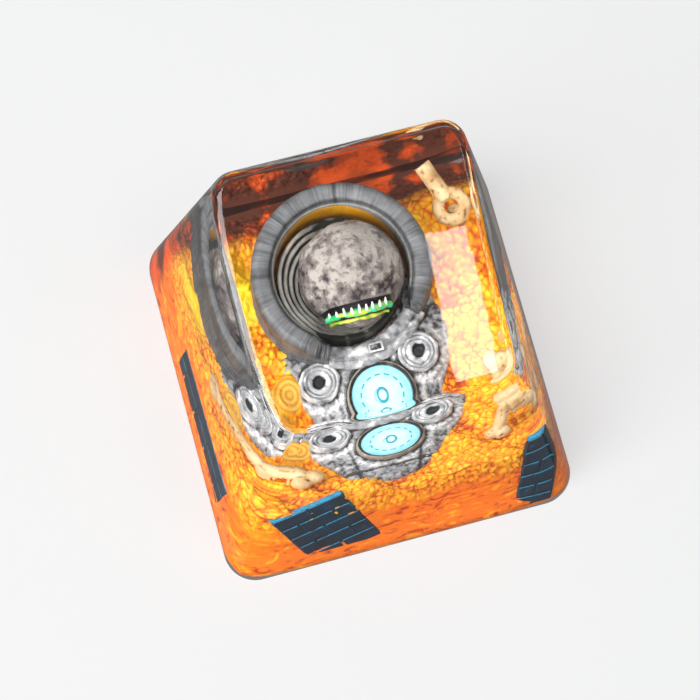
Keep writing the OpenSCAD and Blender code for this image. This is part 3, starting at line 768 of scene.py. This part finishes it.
def makeRing():
    r, o, h = ringShape["inner"], ringShape["outer"], ringShape["height"]
    profile = [(r, 0.0), (r + 0.5, 0.0), (o - 0.1, 0.0)]
    z = 0.25
    while z < h * 0.52:      # rounded grooves up the outside
        profile += [(o - 0.10, z), (o - 0.02, z + 0.10), (o - 0.02, z + 0.26), (o - 0.12, z + 0.34)]
        z += 0.42
    profile += [(o - 0.02, h * 0.62), (o, h * 0.7), (o, h * 0.78), (o, h - 0.5), (o - 0.02, h - 0.3),
                (o - 0.10, h - 0.18), (o - 0.22, h - 0.06),
                (o - 0.34, h), (o - 0.46, h), (o - 0.58, h - 0.005), (o - 0.70, h - 0.01),
                (o - 0.80, h - 0.03), (r + 0.24, h - 0.07), (r + 0.20, h - 0.16), (r + 0.18, h - 0.32),
                (r + 0.12, h - 0.36), (r + 0.04, h - 0.38), (r, h - 0.44), (r, h - 0.9), (r, h - 1.5),
                (r, h - 2.2)]
    ring = spun("helmetRing", profile, ringShape["centre"], ringShape["steps"],
                ringShape["start"], ringShape["sweep"])
    cx, cy, cz = ringShape["centre"]

    def worn(p, n):
        x, y = p.x - cx, p.y - cy
        angle = math.degrees(math.atan2(y, x)) % 360
        along = Vector((math.cos(math.radians(angle)), math.sin(math.radians(angle)), 0))
        stroke = noise.noise(along * 55 + Vector((0, 0, p.z * 0.3)))
        nick = noise.noise(along * 9 + Vector((0, 0, p.z * 0.8)))
        chip = clamp(abs(nick) * 3 - 1.1)
        top = ease(p.z, cz + ringShape["height"] - 0.5, cz + ringShape["height"] - 0.1)
        offset = 0.012 * stroke - 0.05 * chip * top + 0.02 * noise.noise(p * 2.2)
        inner = 1 - ease(math.hypot(x, y), r + 0.05, r + 0.26)
        relief = 0.5 + 0.16 * top - 0.34 * inner - 0.3 * chip + 0.15 * stroke
        return offset, clamp(relief)

    sculpted(ring, worn)
    # the broken ends sink and thin out over some degrees
    for vertex in ring.data.vertices:
        x, y = vertex.co.x / mm - cx, vertex.co.y / mm - cy
        angle = (math.degrees(math.atan2(y, x)) - ringShape["start"]) % 360
        edge = min(angle, abs(ringShape["sweep"] - angle)) / ringShape["sinking"]
        if edge < 1:
            sink = (1 - ease(edge, 0, 1)) * (0.85 if angle < 90 else 0.5)
            ragged = 0.18 * noise.noise(Vector((angle * 0.9, x, y)))
            z = vertex.co.z / mm - cz
            z *= 1 - clamp(sink + ragged * (1 - edge)) * 0.45
            radius = math.hypot(x, y)
            middle = (r + o) / 2
            thinner = middle + (radius - middle) * (1 - 0.55 * sink)
            vertex.co.x = (cx + x * thinner / radius) * mm
            vertex.co.y = (cy + y * thinner / radius) * mm
            vertex.co.z = (cz + z) * mm
    smoothBy(ring, 40)
    ready(ring, helmetMetal, ["helmet_ring"])


def makeBowl():
    shape = {"centre": (*places["bowl"], 5.0), "outer": 3.0, "top": 2.3, "ribs": 4, "step": 0.27,
             "drop": 0.38}
    profile = [(0.0, 0.0), (2.9, 0.0), (3.0, 0.1), (3.0, 1.2), (3.0, shape["top"] - 0.1)]
    for k in range(shape["ribs"]):      # each rib is a rounded roll with a crease behind it
        radius = shape["outer"] - shape["step"] * k
        z = shape["top"] - shape["drop"] * k
        for turn in (0, 30, 60, 90, 120, 150, 180):
            profile.append((radius - 0.125 + 0.125 * math.cos(math.radians(turn)),
                            z - 0.08 + 0.12 * math.sin(math.radians(turn))))
        profile.append((radius - 0.26, z - 0.26))
        profile.append((radius - 0.265, z - 0.36))
    profile += [(1.6, 0.75), (1.0, 0.68), (0.0, 0.66)]
    bowl = spun("helmetBowl", profile, shape["centre"], 160)
    cx, cy, cz = shape["centre"]

    def agedAndShaded(p, n):
        x, y = p.x - cx, p.y - cy
        radius = math.hypot(x, y)
        depth = shape["top"] - (p.z - cz)
        phase = ((shape["outer"] - radius) / shape["step"]) % 1.0
        crease = ease(abs(phase - 0.5), 0.22, 0.44)
        wobble = noise.noise(p * 1.6)
        ribs = ribbed(x, y)
        # painted shade: darker next to the ring away from the ribs, in the creases between the rolls and
        # deeper down the bowl
        plain = 0.40 + 0.35 * noise.noise(p * 3.0) - (0.3 if radius > 2.7 else 0.0)
        lined = 0.86 - 0.82 * crease + 0.2 * wobble - 0.10 * max(0, depth - 1.0)
        return 0.02 * wobble, clamp(plain + (lined - plain) * ribs)

    def ribbed(x, y):
        angle = math.degrees(math.atan2(y, x)) % 360
        return ease(angle, 95, 125) * (1 - ease(angle, 215, 240))

    # away from the left the ribs are drowned under a plain slope
    for vertex in bowl.data.vertices:
        x, y = vertex.co.x / mm - cx, vertex.co.y / mm - cy
        radius = math.hypot(x, y)
        if 1.75 < radius < 2.98 and vertex.co.z / mm - cz > 0.8:
            slope = cz + shape["top"] - 0.12 - (shape["outer"] - radius) * shape["drop"] / shape["step"]
            vertex.co.z += (slope * mm - vertex.co.z) * (1 - ribbed(x, y))
    sculpted(bowl, agedAndShaded)
    smoothBy(bowl, 60)
    ready(bowl, ribWhite, ["helmet_bowl"])


# Head: a weathered, boulder-like ball with two hollows and a wide mouth
headShape = {"centre": Vector((-0.25, 3.45, 7.75)), "radius": 2.56,
             "hollows": [((-0.66, -0.30, 0.68), 0.34, 0.16), ((0.60, -0.50, 0.62), 0.26, 0.17),
                         ((-0.45, -0.70, 0.55), 0.24, 0.08), ((0.78, -0.10, 0.60), 0.16, 0.10),
                         ((0.22, -0.60, 0.76), 0.16, 0.07), ((-0.20, -0.40, 0.89), 0.20, 0.05)],
             "mouthX": -0.15, "mouthHalf": 1.66, "mouthTop": -1.84, "mouthBottom": -2.34}


def makeHead():
    clearSelection()
    bpy.ops.mesh.primitive_ico_sphere_add(subdivisions=7, radius=headShape["radius"] * mm)
    skull = started("head")
    hollows = [(Vector(d).normalized(), size, depth) for d, size, depth in headShape["hollows"]]

    def weathered(p, n):
        d = p.normalized()
        rough = noise.turbulence(d * 5.0, 4, False) - 0.5
        coarse = noise.noise(d * 1.9 + Vector((3, 1, 2)))
        offset = 0.09 * coarse + 0.05 * noise.noise(d * 4.2) + 0.035 * rough
        wash = 0.45 * rough - 0.34 * coarse + 0.30 * clamp(noise.noise(d * 2.6 + Vector((7, 0, 4))))
        # the hollows are darkened: a dark wash with painted shade in them
        for direction, size, depth in hollows:
            near = math.exp(-((d - direction).length / (size * (1 + 0.5 * rough))) ** 2)
            offset -= depth * near
            wash += 4.5 * near * depth * (0.8 + 1.2 * rough)
        brow = math.exp(-((d - Vector((0.02, 0.30, 0.95)).normalized()).length / 0.55) ** 2)
        offset += 0.06 * brow
        pits = clamp(noise.noise(d * 11 + Vector((2, 2, 2))) * 2.4 - 0.7)
        offset -= 0.06 * pits
        wash += 0.40 * pits
        # mouth: a slot low on the front, with a lip and a dark gap under it
        across = (p.x - headShape["mouthX"]) / headShape["mouthHalf"]
        low = p.y - 0.045 * p.x * p.x
        if p.z > -0.9 and abs(across) < 1.15:
            slot = ease(low, headShape["mouthBottom"] - 0.10, headShape["mouthBottom"] + 0.06) \
                * (1 - ease(low, headShape["mouthTop"] - 0.08, headShape["mouthTop"] + 0.05)) \
                * (1 - ease(abs(across), 0.88, 1.12))
            offset -= 0.75 * slot
            wash += 1.6 * slot
        # painted shade toward the front and on the sides, and a painted highlight on the crown by the brow
        wash += 0.20 * (1 - ease(p.y, -1.9, -0.6)) + 0.12 * ease(abs(p.x), 1.4, 2.3)
        return offset, clamp(0.66 + 0.16 * brow - wash)

    sculpted(skull, weathered)
    skull.location = headShape["centre"] * mm
    settle(skull)
    smoothBy(skull, 70)
    ready(skull, headStone, ["head"])


def mouthPoint(across, lift=0.0, forward=0.0):
    # a point along the lower lip, on the ball
    x = headShape["mouthX"] + across * (headShape["mouthHalf"] - 0.12)
    y = -2.12 + 0.09 * x * x
    radius = headShape["radius"] - 0.10
    z = math.sqrt(max(0.02, radius * radius - x * x - y * y))
    return headShape["centre"] + Vector((x, y - forward, z + lift))


def makeTeeth():
    pieces = []
    # gum and lower lip: bevelled curves turned into meshes
    for paint, lift, forward, thick, low in ((gumGreen, -0.10, 0.02, 0.20, -1.0),
                                             (lipYellow, -0.40, 0.26, 0.10, -0.9)):
        curve = bpy.data.curves.new("gum", "CURVE")
        curve.dimensions = "3D"
        curve.bevel_depth = thick * mm
        curve.bevel_resolution = 5
        curve.use_fill_caps = True
        line = curve.splines.new("NURBS")
        count = 22
        line.points.add(count - 1)
        for k, point in enumerate(line.points):
            across = low + (abs(low) * 2) * k / (count - 1)
            place = mouthPoint(across, lift, forward)
            place += Vector((0, noise.noise(place * 3) * 0.08, noise.noise(place * 3.3) * 0.07))
            point.co = (*(place * mm), 1)
            point.radius = 0.75 + 0.5 * noise.noise(place * 2.5) + (0.2 if k % 3 == 0 else 0)
        line.use_endpoint_u = True
        gum = bpy.data.objects.new("gum", curve)
        bpy.context.scene.collection.objects.link(gum)
        pick(gum)
        bpy.ops.object.convert(target="MESH")
        gum = bpy.context.object
        gum.data.materials.clear()
        gum.data.materials.append(paint)
        pieces.append(gum)
    row = {-0.90: 0.95, -0.70: 0.8, -0.47: 1.15, -0.24: 0.9, 0.0: 1.25, 0.22: 0.95, 0.42: 1.1,
           0.66: 1.0, 0.86: 1.2}      # place across the mouth, and size
    for k, (across, big) in enumerate(row.items()):
        clearSelection()
        bpy.ops.mesh.primitive_cone_add(vertices=14, radius1=0.13 * mm, radius2=0.035 * mm,
                                        depth=0.44 * big * mm)
        tooth = started("tooth")
        tooth.location = mouthPoint(across, 0.14, -0.08 * big) * mm
        tooth.rotation_euler = (math.radians(-52 + 16 * noise.noise(Vector((k, 2, 0)))),
                                math.radians(14 * across + 14 * noise.noise(Vector((k, 9, 3)))), 0.0)
        settle(tooth)
        refined(tooth, 2)
        tooth.data.materials.append(toothWhite)
        pieces.append(tooth)
    teeth = joined(pieces, "teeth")
    # faces turned up take more of the pale brush: a painted highlight from above
    sculpted(teeth, lambda p, n: (0.012 * noise.noise(p * 6),
                                  clamp(0.55 + 0.5 * noise.noise(p * 3.4) + 0.2 * n.z)))
    smoothBy(teeth, 60)
    ready(teeth, None, ["teeth"])


# Suit: chest and shoulders as one relief, cut down where the bowl stands. Its outline is that of
# a wide round and a narrow round drawn together.
suitShape = {"shoulders": (-0.4, 0.3, 4.18), "belly": (-0.4, -3.2, 2.53), "middle": (-0.4, -0.9),
             "foot": 5.02, "top": 6.22, "cells": 190}


def suitReach(angle):
    dx, dy = math.cos(angle), math.sin(angle)
    mx, my = suitShape["middle"]
    reach = 0.0
    for k in range(17):
        t = k / 16
        cx, cy, radius = (a + (b - a) * t for a, b in zip(suitShape["shoulders"], suitShape["belly"]))
        along = (cx - mx) * dx + (cy - my) * dy
        aside = (cx - mx) * dy - (cy - my) * dx
        if abs(aside) < radius:
            reach = max(reach, along + math.sqrt(radius * radius - aside * aside))
    return reach


suitOutline = [suitReach(2 * math.pi * k / 720) for k in range(720)]


def suitSpot(u, v, scale=1.0):
    x = u * math.sqrt(1 - v * v / 2)
    y = v * math.sqrt(1 - u * u / 2)
    reach = suitOutline[round(math.atan2(y, x) / (2 * math.pi) * 720) % 720] * scale
    return suitShape["middle"][0] + x * reach, suitShape["middle"][1] + y * reach, math.hypot(x, y)


def distanceTo(key, x, y):
    return math.hypot(x - places[key][0], y - places[key][1])


def suitPlace(u, v):
    x, y, reach = suitSpot(u, v)
    p = Vector((x, y, 0))
    dome = math.sqrt(max(0.0, 1 - min(1.0, reach) ** 4.5))
    z = suitShape["foot"] + (suitShape["top"] - 0.22 - suitShape["foot"]) * (0.45 + 0.55 * dome)
    folds = noise.noise(p * 1.25 + Vector((4, 0, 0))) * 0.5 + noise.noise(p * 2.9) * 0.3
    crinkle = noise.turbulence(p * 4.2, 3, False) - 0.5
    relief = 0.50 + 0.34 * folds + 0.30 * crinkle
    z += 0.13 * folds + 0.06 * crinkle
    # seats of the ports and the disc swell round them, with a line of painted shade at their foot and a band
    # of painted highlight on the swell
    for seat, radius, swell in (("portLeft", 0.98, 0.20), ("portRight", 0.98, 0.20), ("dial", 1.72, 0.14)):
        away = distanceTo(seat, x, y) - radius
        z += swell * math.exp(-(away / 0.42) ** 2) * dome
        relief -= 0.30 * math.exp(-((away - 0.06 - 0.1 * folds) / 0.09) ** 2)
        relief += 0.26 * math.exp(-((away - 0.34) / 0.24) ** 2)
        if away < 0:
            z = min(z, suitShape["top"] - 0.2)
    # seams: one across the chest under the disc, two from the neck to the sides
    for seam in (y + 4.55 - 0.035 * x * x, abs(x + 0.45) - 1.95 - 0.12 * (y + 1.0)):
        relief -= 0.42 * math.exp(-(seam / 0.09) ** 2)
        z -= 0.06 * math.exp(-(seam / 0.10) ** 2)
    # under the helmet ring the suit is painted in shade, dark and uneven
    if y < 1.5:
        relief -= 0.25 * math.exp(-((distanceTo("ring", x, y) - 4.1) / 0.75) ** 2)
    if distanceTo("bowl", x, y) < 3.04:
        z = min(z, 5.05)
    z = clamp(z, suitShape["foot"] - 0.01, suitShape["top"] + 0.02)
    return (x, y, z), clamp(relief)


def makeSuit():
    suit = moulded("suitTorso", suitShape["cells"], suitPlace)
    skirted(suit, [lambda u, v: ((*suitSpot(u, v, 1.004)[:2], 5.35), 0.4),
                   lambda u, v: ((*suitSpot(u, v)[:2], 5.01), 0.3)])
    smoothBy(suit, 60)
    ready(suit, suitGrey, ["torso"])


def makeCollar():
    r, o = 3.25, 4.3
    profile = [(r, 0.0), (o, 0.0), (o, 0.18), (o - 0.06, 0.34), (o - 0.18, 0.46), (o - 0.30, 0.50),
               (o - 0.38, 0.44), (o - 0.44, 0.56), (o - 0.56, 0.70), (o - 0.72, 0.74), (r + 0.20, 0.70),
               (r + 0.06, 0.60), (r, 0.48)]
    collar = spun("collar", profile, (*places["ring"], 6.22), 110, -116.0, 80.0)

    def lumpy(p, n):
        folds = noise.noise(p * 2.1) + 0.5 * noise.noise(p * 5.0)
        # faces turned up are a little paler: a painted highlight from above
        return 0.06 * folds, clamp(0.42 + 0.42 * folds + 0.1 * n.z)

    sculpted(collar, lumpy)
    smoothBy(collar, 60)
    ready(collar, suitGrey, ["collar"])


def makeClasp():
    shape = {"place": (0.025, -0.17, 7.16), "size": (0.72, 0.48, 0.30)}
    clasp = cube("collarClasp", shape["size"], shape["place"])
    bpy.ops.object.mode_set(mode="EDIT")
    bpy.ops.mesh.select_mode(type="FACE")
    bpy.ops.mesh.select_all(action="DESELECT")
    bpy.ops.object.mode_set(mode="OBJECT")
    for face in clasp.data.polygons:
        face.select = face.normal.z > 0.9
    bpy.ops.object.mode_set(mode="EDIT")
    bpy.ops.mesh.inset(thickness=0.11 * mm)
    bpy.ops.mesh.extrude_region_move(TRANSFORM_OT_translate={"value": (0, 0, -0.14 * mm)})
    bpy.ops.mesh.select_mode(type="VERT")
    bpy.ops.object.mode_set(mode="OBJECT")
    softened(clasp, 0.035, 3)
    # the raised rim on top is painted lighter and the rest darker: painted highlight and painted shade
    sculpted(clasp, lambda p, n: (0.0, clamp(0.5 + 0.4 * noise.noise(p * 5)
                                             + (0.2 if p.z > 7.28 else -0.3))))
    smoothBy(clasp, 35)
    ready(clasp, claspMetal, ["collar_clasp"])


def makeDisc():
    shape = {"centre": (*places["dial"], 5.9), "radius": 1.49, "top": 0.43, "ticks": 14,
             "tickRadius": 1.02, "tickSize": (0.08, 0.27, 0.05)}
    r, t = shape["radius"], shape["top"]
    profile = [(0.0, 0.0), (r, 0.0), (r, t - 0.05), (r - 0.05, t), (r - 0.2, t + 0.01),
               (r - 0.5, t + 0.02), (0.42, t + 0.03), (0.34, t - 0.02), (0.30, t - 0.02),
               (0.24, t + 0.03), (0.0, t + 0.035)]
    disc = spun("chestDisc", profile, shape["centre"], 96)
    disc.data.materials.clear()
    disc.data.materials.append(discBlue)
    pieces = [disc]
    cx, cy, cz = shape["centre"]
    for k in range(shape["ticks"]):      # plain ticks round the dial
        angle = 2 * math.pi * (k + 0.5) / shape["ticks"]
        tick = cube("tick", shape["tickSize"], (cx + shape["tickRadius"] * math.cos(angle),
                                                cy + shape["tickRadius"] * math.sin(angle),
                                                cz + t + 0.016), (0, 0, angle))
        softened(tick, 0.02, 2)
        tick.data.materials.append(tickTeal)
        pieces.append(tick)
    oval = spun("oval", [(0.20, 0.0), (0.27, 0.0), (0.28, 0.04), (0.235, 0.06), (0.19, 0.04)],
                (cx, cy, cz + t + 0.01), 48)
    for vertex in oval.data.vertices:     # drawn out into an oval
        vertex.co.y = (cy + (vertex.co.y / mm - cy) * 1.45) * mm
    oval.data.materials.append(tickTeal)
    pieces.append(oval)
    disc = joined(pieces, "chestDisc")
    sculpted(disc, lambda p, n: (0.004 * noise.noise(p * 3), clamp(0.5 + 0.4 * noise.noise(p * 4))))
    smoothBy(disc, 30)
    ready(disc, None, ["chest_disc"])


def makeBezel():
    r = 1.5
    profile = [(r - 0.01, 0.0), (r + 0.20, 0.0), (r + 0.20, 0.36), (r + 0.18, 0.46), (r + 0.14, 0.52),
               (r + 0.10, 0.53), (r + 0.075, 0.47), (r + 0.05, 0.46), (r + 0.03, 0.50), (r, 0.49),
               (r - 0.03, 0.44)]
    bezel = spun("chestBezel", profile, (*places["dial"], 5.9), 128)

    def worn(p, n):
        radius = distanceTo("dial", p.x, p.y)
        line = math.exp(-((radius - r - 0.06) / 0.035) ** 2) \
            + math.exp(-((radius - r + 0.01) / 0.02) ** 2)
        return 0.012 * noise.noise(p * 4), clamp(0.62 + 0.3 * noise.noise(p * 3) - 0.7 * line)

    sculpted(bezel, worn)
    smoothBy(bezel, 40)
    ready(bezel, bezelTan, ["chest_bezel"])


def makePort(name, cadNode):
    profile = [(0.0, 0.22), (0.08, 0.24), (0.15, 0.22), (0.22, 0.22), (0.28, 0.28), (0.32, 0.45),
               (0.38, 0.56), (0.48, 0.60), (0.56, 0.56), (0.60, 0.52), (0.64, 0.58), (0.70, 0.63),
               (0.75, 0.60), (0.78, 0.56), (0.82, 0.62), (0.88, 0.66), (0.94, 0.60), (0.98, 0.46),
               (0.98, 0.0), (0.5, 0.0), (0.0, 0.0)]
    foot = 5.86
    port = spun(name, profile, (*places[name], foot), 72)

    def washed(p, n):
        radius = distanceTo(name, p.x, p.y)
        lumps = noise.noise(p * 2.3) + 0.5 * noise.noise(p * 5.0)
        groove = max(math.exp(-((radius - c - 0.03 * lumps) / 0.035) ** 2) for c in (0.60, 0.78))
        # the hole is painted dark, darkest low down: painted shade in it
        hole = 1 - ease(radius + 0.06 * lumps, 0.24, 0.40)
        return 0.06 * lumps, clamp(0.70 + 0.45 * lumps - 0.45 * groove * clamp(0.6 + lumps)
                                   - 0.95 * hole * (1 if p.z - foot < 0.5 else 0.4))

    sculpted(port, washed)
    smoothBy(port, 50)
    ready(port, portGrey, [cadNode])


# Bones: a waisted shaft with two knuckles at each end, remeshed into one smooth form
def makeBone(name, start, end, radius, cadNode, knuckle=1.25):
    start, end = Vector(start), Vector(end)
    run = end - start
    clearSelection()
    bpy.ops.mesh.primitive_cylinder_add(vertices=24, radius=radius * mm, depth=run.length * mm)
    pieces = [started(name)]
    onWhole(lambda: bpy.ops.mesh.subdivide(number_cuts=1))
    for side in (-1, 1):
        for tip in (-1, 1):
            clearSelection()
            bpy.ops.mesh.primitive_uv_sphere_add(segments=20, ring_count=12, radius=radius * knuckle * mm)
            ball = bpy.context.object
            ball.location = Vector((side * radius * 0.72, 0, tip * (run.length / 2 - radius * 0.25))) * mm
            ball.scale = (1.0, 0.95, 1.15)
            pieces.append(ball)
    for obj in pieces:
        settle(obj)
    bone = joined(pieces, name)
    bone.rotation_mode = "QUATERNION"
    bone.rotation_quaternion = run.to_track_quat("Z", "Y")
    bone.location = (start + end) / 2 * mm
    settle(bone)
    finishBone(bone, radius, cadNode)


def finishBone(bone, radius, cadNode):
    remesh = bone.modifiers.new("oneForm", "REMESH")
    remesh.mode = "VOXEL"
    remesh.voxel_size = 0.05 * mm
    smooth = bone.modifiers.new("worn", "SMOOTH")
    smooth.factor = 0.6
    smooth.iterations = 6
    applyModifiers(bone)

    def weathered(p, n):
        coarse = noise.noise(p * 1.3)
        pits = clamp(noise.noise(p * 4.0) * 2 - 0.5)
        return 0.05 * radius * coarse - 0.05 * pits, clamp(0.58 + 0.35 * coarse - 0.5 * pits)

    sculpted(bone, weathered)
    smoothBy(bone, 70)
    ready(bone, boneTan, [cadNode])


def makeBackBone():
    shape = {"place": (5.35, 5.6, 7.2), "hoop": (0.66, 0.31), "worn": 0.5,
             # length, radius and two turns of each shaft
             "shafts": ((2.0, 0.42, -82, 18), (1.9, 0.34, 158, 0))}
    clearSelection()
    bpy.ops.mesh.primitive_torus_add(major_radius=shape["hoop"][0] * mm, minor_radius=shape["hoop"][1] * mm,
                                     major_segments=40, minor_segments=16)
    pieces = [started("boneBack")]
    for length, radius, turnX, turnZ in shape["shafts"]:
        clearSelection()
        bpy.ops.mesh.primitive_cylinder_add(vertices=24, radius=radius * mm, depth=length * mm)
        shaft = bpy.context.object
        onWhole(lambda: bpy.ops.transform.translate(value=(0, 0, (length / 2 + 0.45) * mm)))
        shaft.rotation_euler = (math.radians(turnX), 0, math.radians(turnZ))
        settle(shaft)
        pieces.append(shaft)
    bone = joined(pieces, "boneBack")
    bone.rotation_euler = (math.radians(12), math.radians(-14), 0)
    bone.location = Vector(shape["place"]) * mm
    settle(bone)
    finishBone(bone, shape["worn"], "bone_back")


# Ruined brick walls: a slab with bricks in bond, chipped and painted dark blue, with a painted highlight of
# lighter blue on the bevels and on the faces turned up
brick = {"length": 1.9, "height": 1.12, "deep": 0.30, "joint": 0.12, "thick": 0.65, "inset": 0.34,
         "relief": 0.07, "edge": 0.05}


def brickWall(name, rows, cols):
    long, high, thick, relief = (brick[key] for key in ("length", "height", "thick", "relief"))
    pieces = [cube(name, (cols * long, thick - relief, rows * high),
                   (cols * long / 2, (thick + relief) / 2, rows * high / 2))]
    for row in range(rows):
        x = 0.0
        widths = [long] * cols
        if row % 2:
            widths = [long / 2] + [long] * (cols - 1) + [long / 2]
        for width in widths:
            pieces.append(cube("brick", (width - brick["joint"], brick["deep"], high - brick["joint"]),
                               (x + width / 2, brick["deep"] / 2, (row + 0.5) * high)))
            x += width
    for piece in pieces:
        softened(piece, brick["edge"], 2)
        refined(piece, 3, True)
    return joined(pieces, name)


def finishWall(wall, cadNode, upright):
    upward = Vector(upright).normalized()

    def chippedAndHighlit(p, n):
        coarse = noise.noise(p * 1.4)
        chip = clamp(noise.noise(p * 3.1) * 2.4 - 0.9)
        # the bevels are lifted in the relief: a painted highlight on the brick edges
        edge = 1 - max(abs(c) for c in n)      # bevels have slanted normals
        return 0.02 * coarse - 0.07 * chip, clamp(0.26 + 0.25 * coarse + 1.5 * edge + 0.2 * chip)

    sculpted(wall, chippedAndHighlit)
    for vertex in wall.data.vertices:      # cut off where the clear side begins
        x, y, z = vertex.co / mm
        z = max(z, keycap["band"])
        reach = wallX(z, brick["inset"])
        vertex.co = Vector((clamp(x, -reach, reach), max(y, wallFront(z, brick["inset"])), z)) * mm
    wall.data.materials.clear()
    wall.data.materials.append(brickBlue)
    wall.data.materials.append(brickTopHighlight)
    # faces turned up take the lighter blue: a painted highlight on the brick tops
    for face in wall.data.polygons:
        face.material_index = 1 if face.normal.dot(upward) > 0.8 else 0
    smoothBy(wall, 30)
    ready(wall, None, [cadNode])


def ruinedWall(name, cadNode, lean, facing, rows, cols, along, up, turnDegrees):
    # stands just inside a clear wall, which leans and faces so many degrees from the front
    wallPiece = brickWall(name, rows, cols)
    tilt = math.atan(keycap[lean])
    depth = -keycap["half"] - keycap[lean] * keycap["band"] + brick["inset"] / math.cos(tilt)
    place = (Matrix.Rotation(math.radians(facing), 4, "Z") @ Matrix.Translation(Vector((0, depth, 0)) * mm)
             @ Matrix.Rotation(-tilt, 4, "X") @ Matrix.Translation(Vector((along, 0, up)) * mm)
             @ Matrix.Rotation(math.radians(turnDegrees), 4, "Y"))
    wallPiece.matrix_world = place
    settle(wallPiece)
    finishWall(wallPiece, cadNode, place.to_3x3() @ Vector((0, 0, 1)))


makeResin()
makeStem()
makeGround()
makeRing()
makeBowl()
makeHead()
makeTeeth()
makeSuit()
makeCollar()
makeClasp()
makeDisc()
makeBezel()
makePort("portLeft", "port_left")
makePort("portRight", "port_right")
makeBone("boneLeft", (-6.5, 0.1, 5.75), (-4.45, -4.15, 6.0), 0.42, "bone_left")
makeBone("boneRight", (4.95, -4.2, 5.75), (5.45, -2.3, 7.9), 0.34, "bone_right")
makeBone("boneLeaning", (6.5, -3.7, 5.75), (6.45, -1.0, 6.6), 0.28, "bone_leaning")
makeBackBone()
ruinedWall("ruinFront", "ruin_front", "frontLean", 0, 5, 2, -4.78, 0.27, -20)
ruinedWall("ruinLeft", "ruin_left", "sideLean", -90, 3, 4, -2.6, 0.1, -2)
ruinedWall("ruinCorner", "ruin_corner", "frontLean", 0, 6, 1, 5.75, 0.3, 4)
print("pieces done")


# Floor, world and soft lamps. Floor and world look pale to the camera and through the resin, and
# dimmer in reflections, so that the resin's sides keep the depth of their colours.
studio = {
    "floorSize": 1.6, "floorColour": (0.80, 0.80, 0.79), "floorSeen": 0.62, "floorStrength": 0.95,
    "worldColour": (0.93, 0.94, 0.95), "worldSeen": 0.9, "worldLight": 0.20, "reflected": 0.22,
    "boxes": [
        # name, place, what it is turned to, width, height, radiance
        ("softBoxKey", (200, -130, 260), (0, 0, 8), 150, 150, 3.0),
        ("windowCard", (52.3, -81, 300), (52.3, -81, 0), 7.4, 27, 9.0),
        ("softBoxLeft", (-195, -45, 200), (0, 0, 12), 165, 350, 6.6),
    ],
}


def seenRays(tree):
    path = node(tree, "ShaderNodeLightPath").outputs
    return path["Is Glossy Ray"], maths(tree, "ADD", path["Is Camera Ray"], path["Is Transmission Ray"], True)


def litFloor():
    clearSelection()
    bpy.ops.mesh.primitive_plane_add(size=studio["floorSize"])
    floor = started("studioFloor")
    material = bpy.data.materials.new("floorPale")
    tree = emptied(material)
    tint = (*studio["worldColour"], 1)
    matte = node(tree, "ShaderNodeBsdfDiffuse", {"Color": (*studio["floorColour"], 1)})
    pale = node(tree, "ShaderNodeEmission", {"Color": tint, "Strength": studio["floorStrength"]})
    dim = node(tree, "ShaderNodeEmission", {"Color": tint, "Strength": studio["reflected"]})
    glossy, seen = seenRays(tree)
    share = maths(tree, "MULTIPLY", seen, studio["floorSeen"])
    surface = matte.outputs[0]
    for factor, other in ((share, pale), (glossy, dim)):
        surface = node(tree, "ShaderNodeMixShader", {"Fac": factor, 1: surface,
                                                     2: other.outputs[0]}).outputs[0]
    node(tree, "ShaderNodeOutputMaterial", {"Surface": surface})
    floor.data.materials.append(material)


def litWorld():
    world = bpy.data.worlds.new("studioWorld")
    bpy.context.scene.world = world
    tree = emptied(world)
    glossy, seen = seenRays(tree)
    lit = mapped(tree, glossy, 0.0, 1.0, studio["worldLight"], studio["reflected"])
    strength = mapped(tree, seen, 0.0, 1.0, lit, studio["worldSeen"])
    back = node(tree, "ShaderNodeBackground", {"Color": (*studio["worldColour"], 1), "Strength": strength})
    node(tree, "ShaderNodeOutputWorld", {"Surface": back.outputs[0]})


def softBox(name, place, target, width, height, radiance):
    lamp = bpy.data.lights.new(name, "AREA")
    lamp.shape = "RECTANGLE"
    lamp.size = width * mm
    lamp.size_y = height * mm
    lamp.energy = radiance * math.pi * lamp.size * lamp.size_y
    holder = bpy.data.objects.new(name, lamp)
    bpy.context.scene.collection.objects.link(holder)
    holder.location = Vector(place) * mm
    away = Vector(place) - Vector(target)
    holder.rotation_euler = away.to_track_quat("Z", "Y").to_euler()


litFloor()
litWorld()
for box in studio["boxes"]:
    softBox(*box)
print("studio lit")
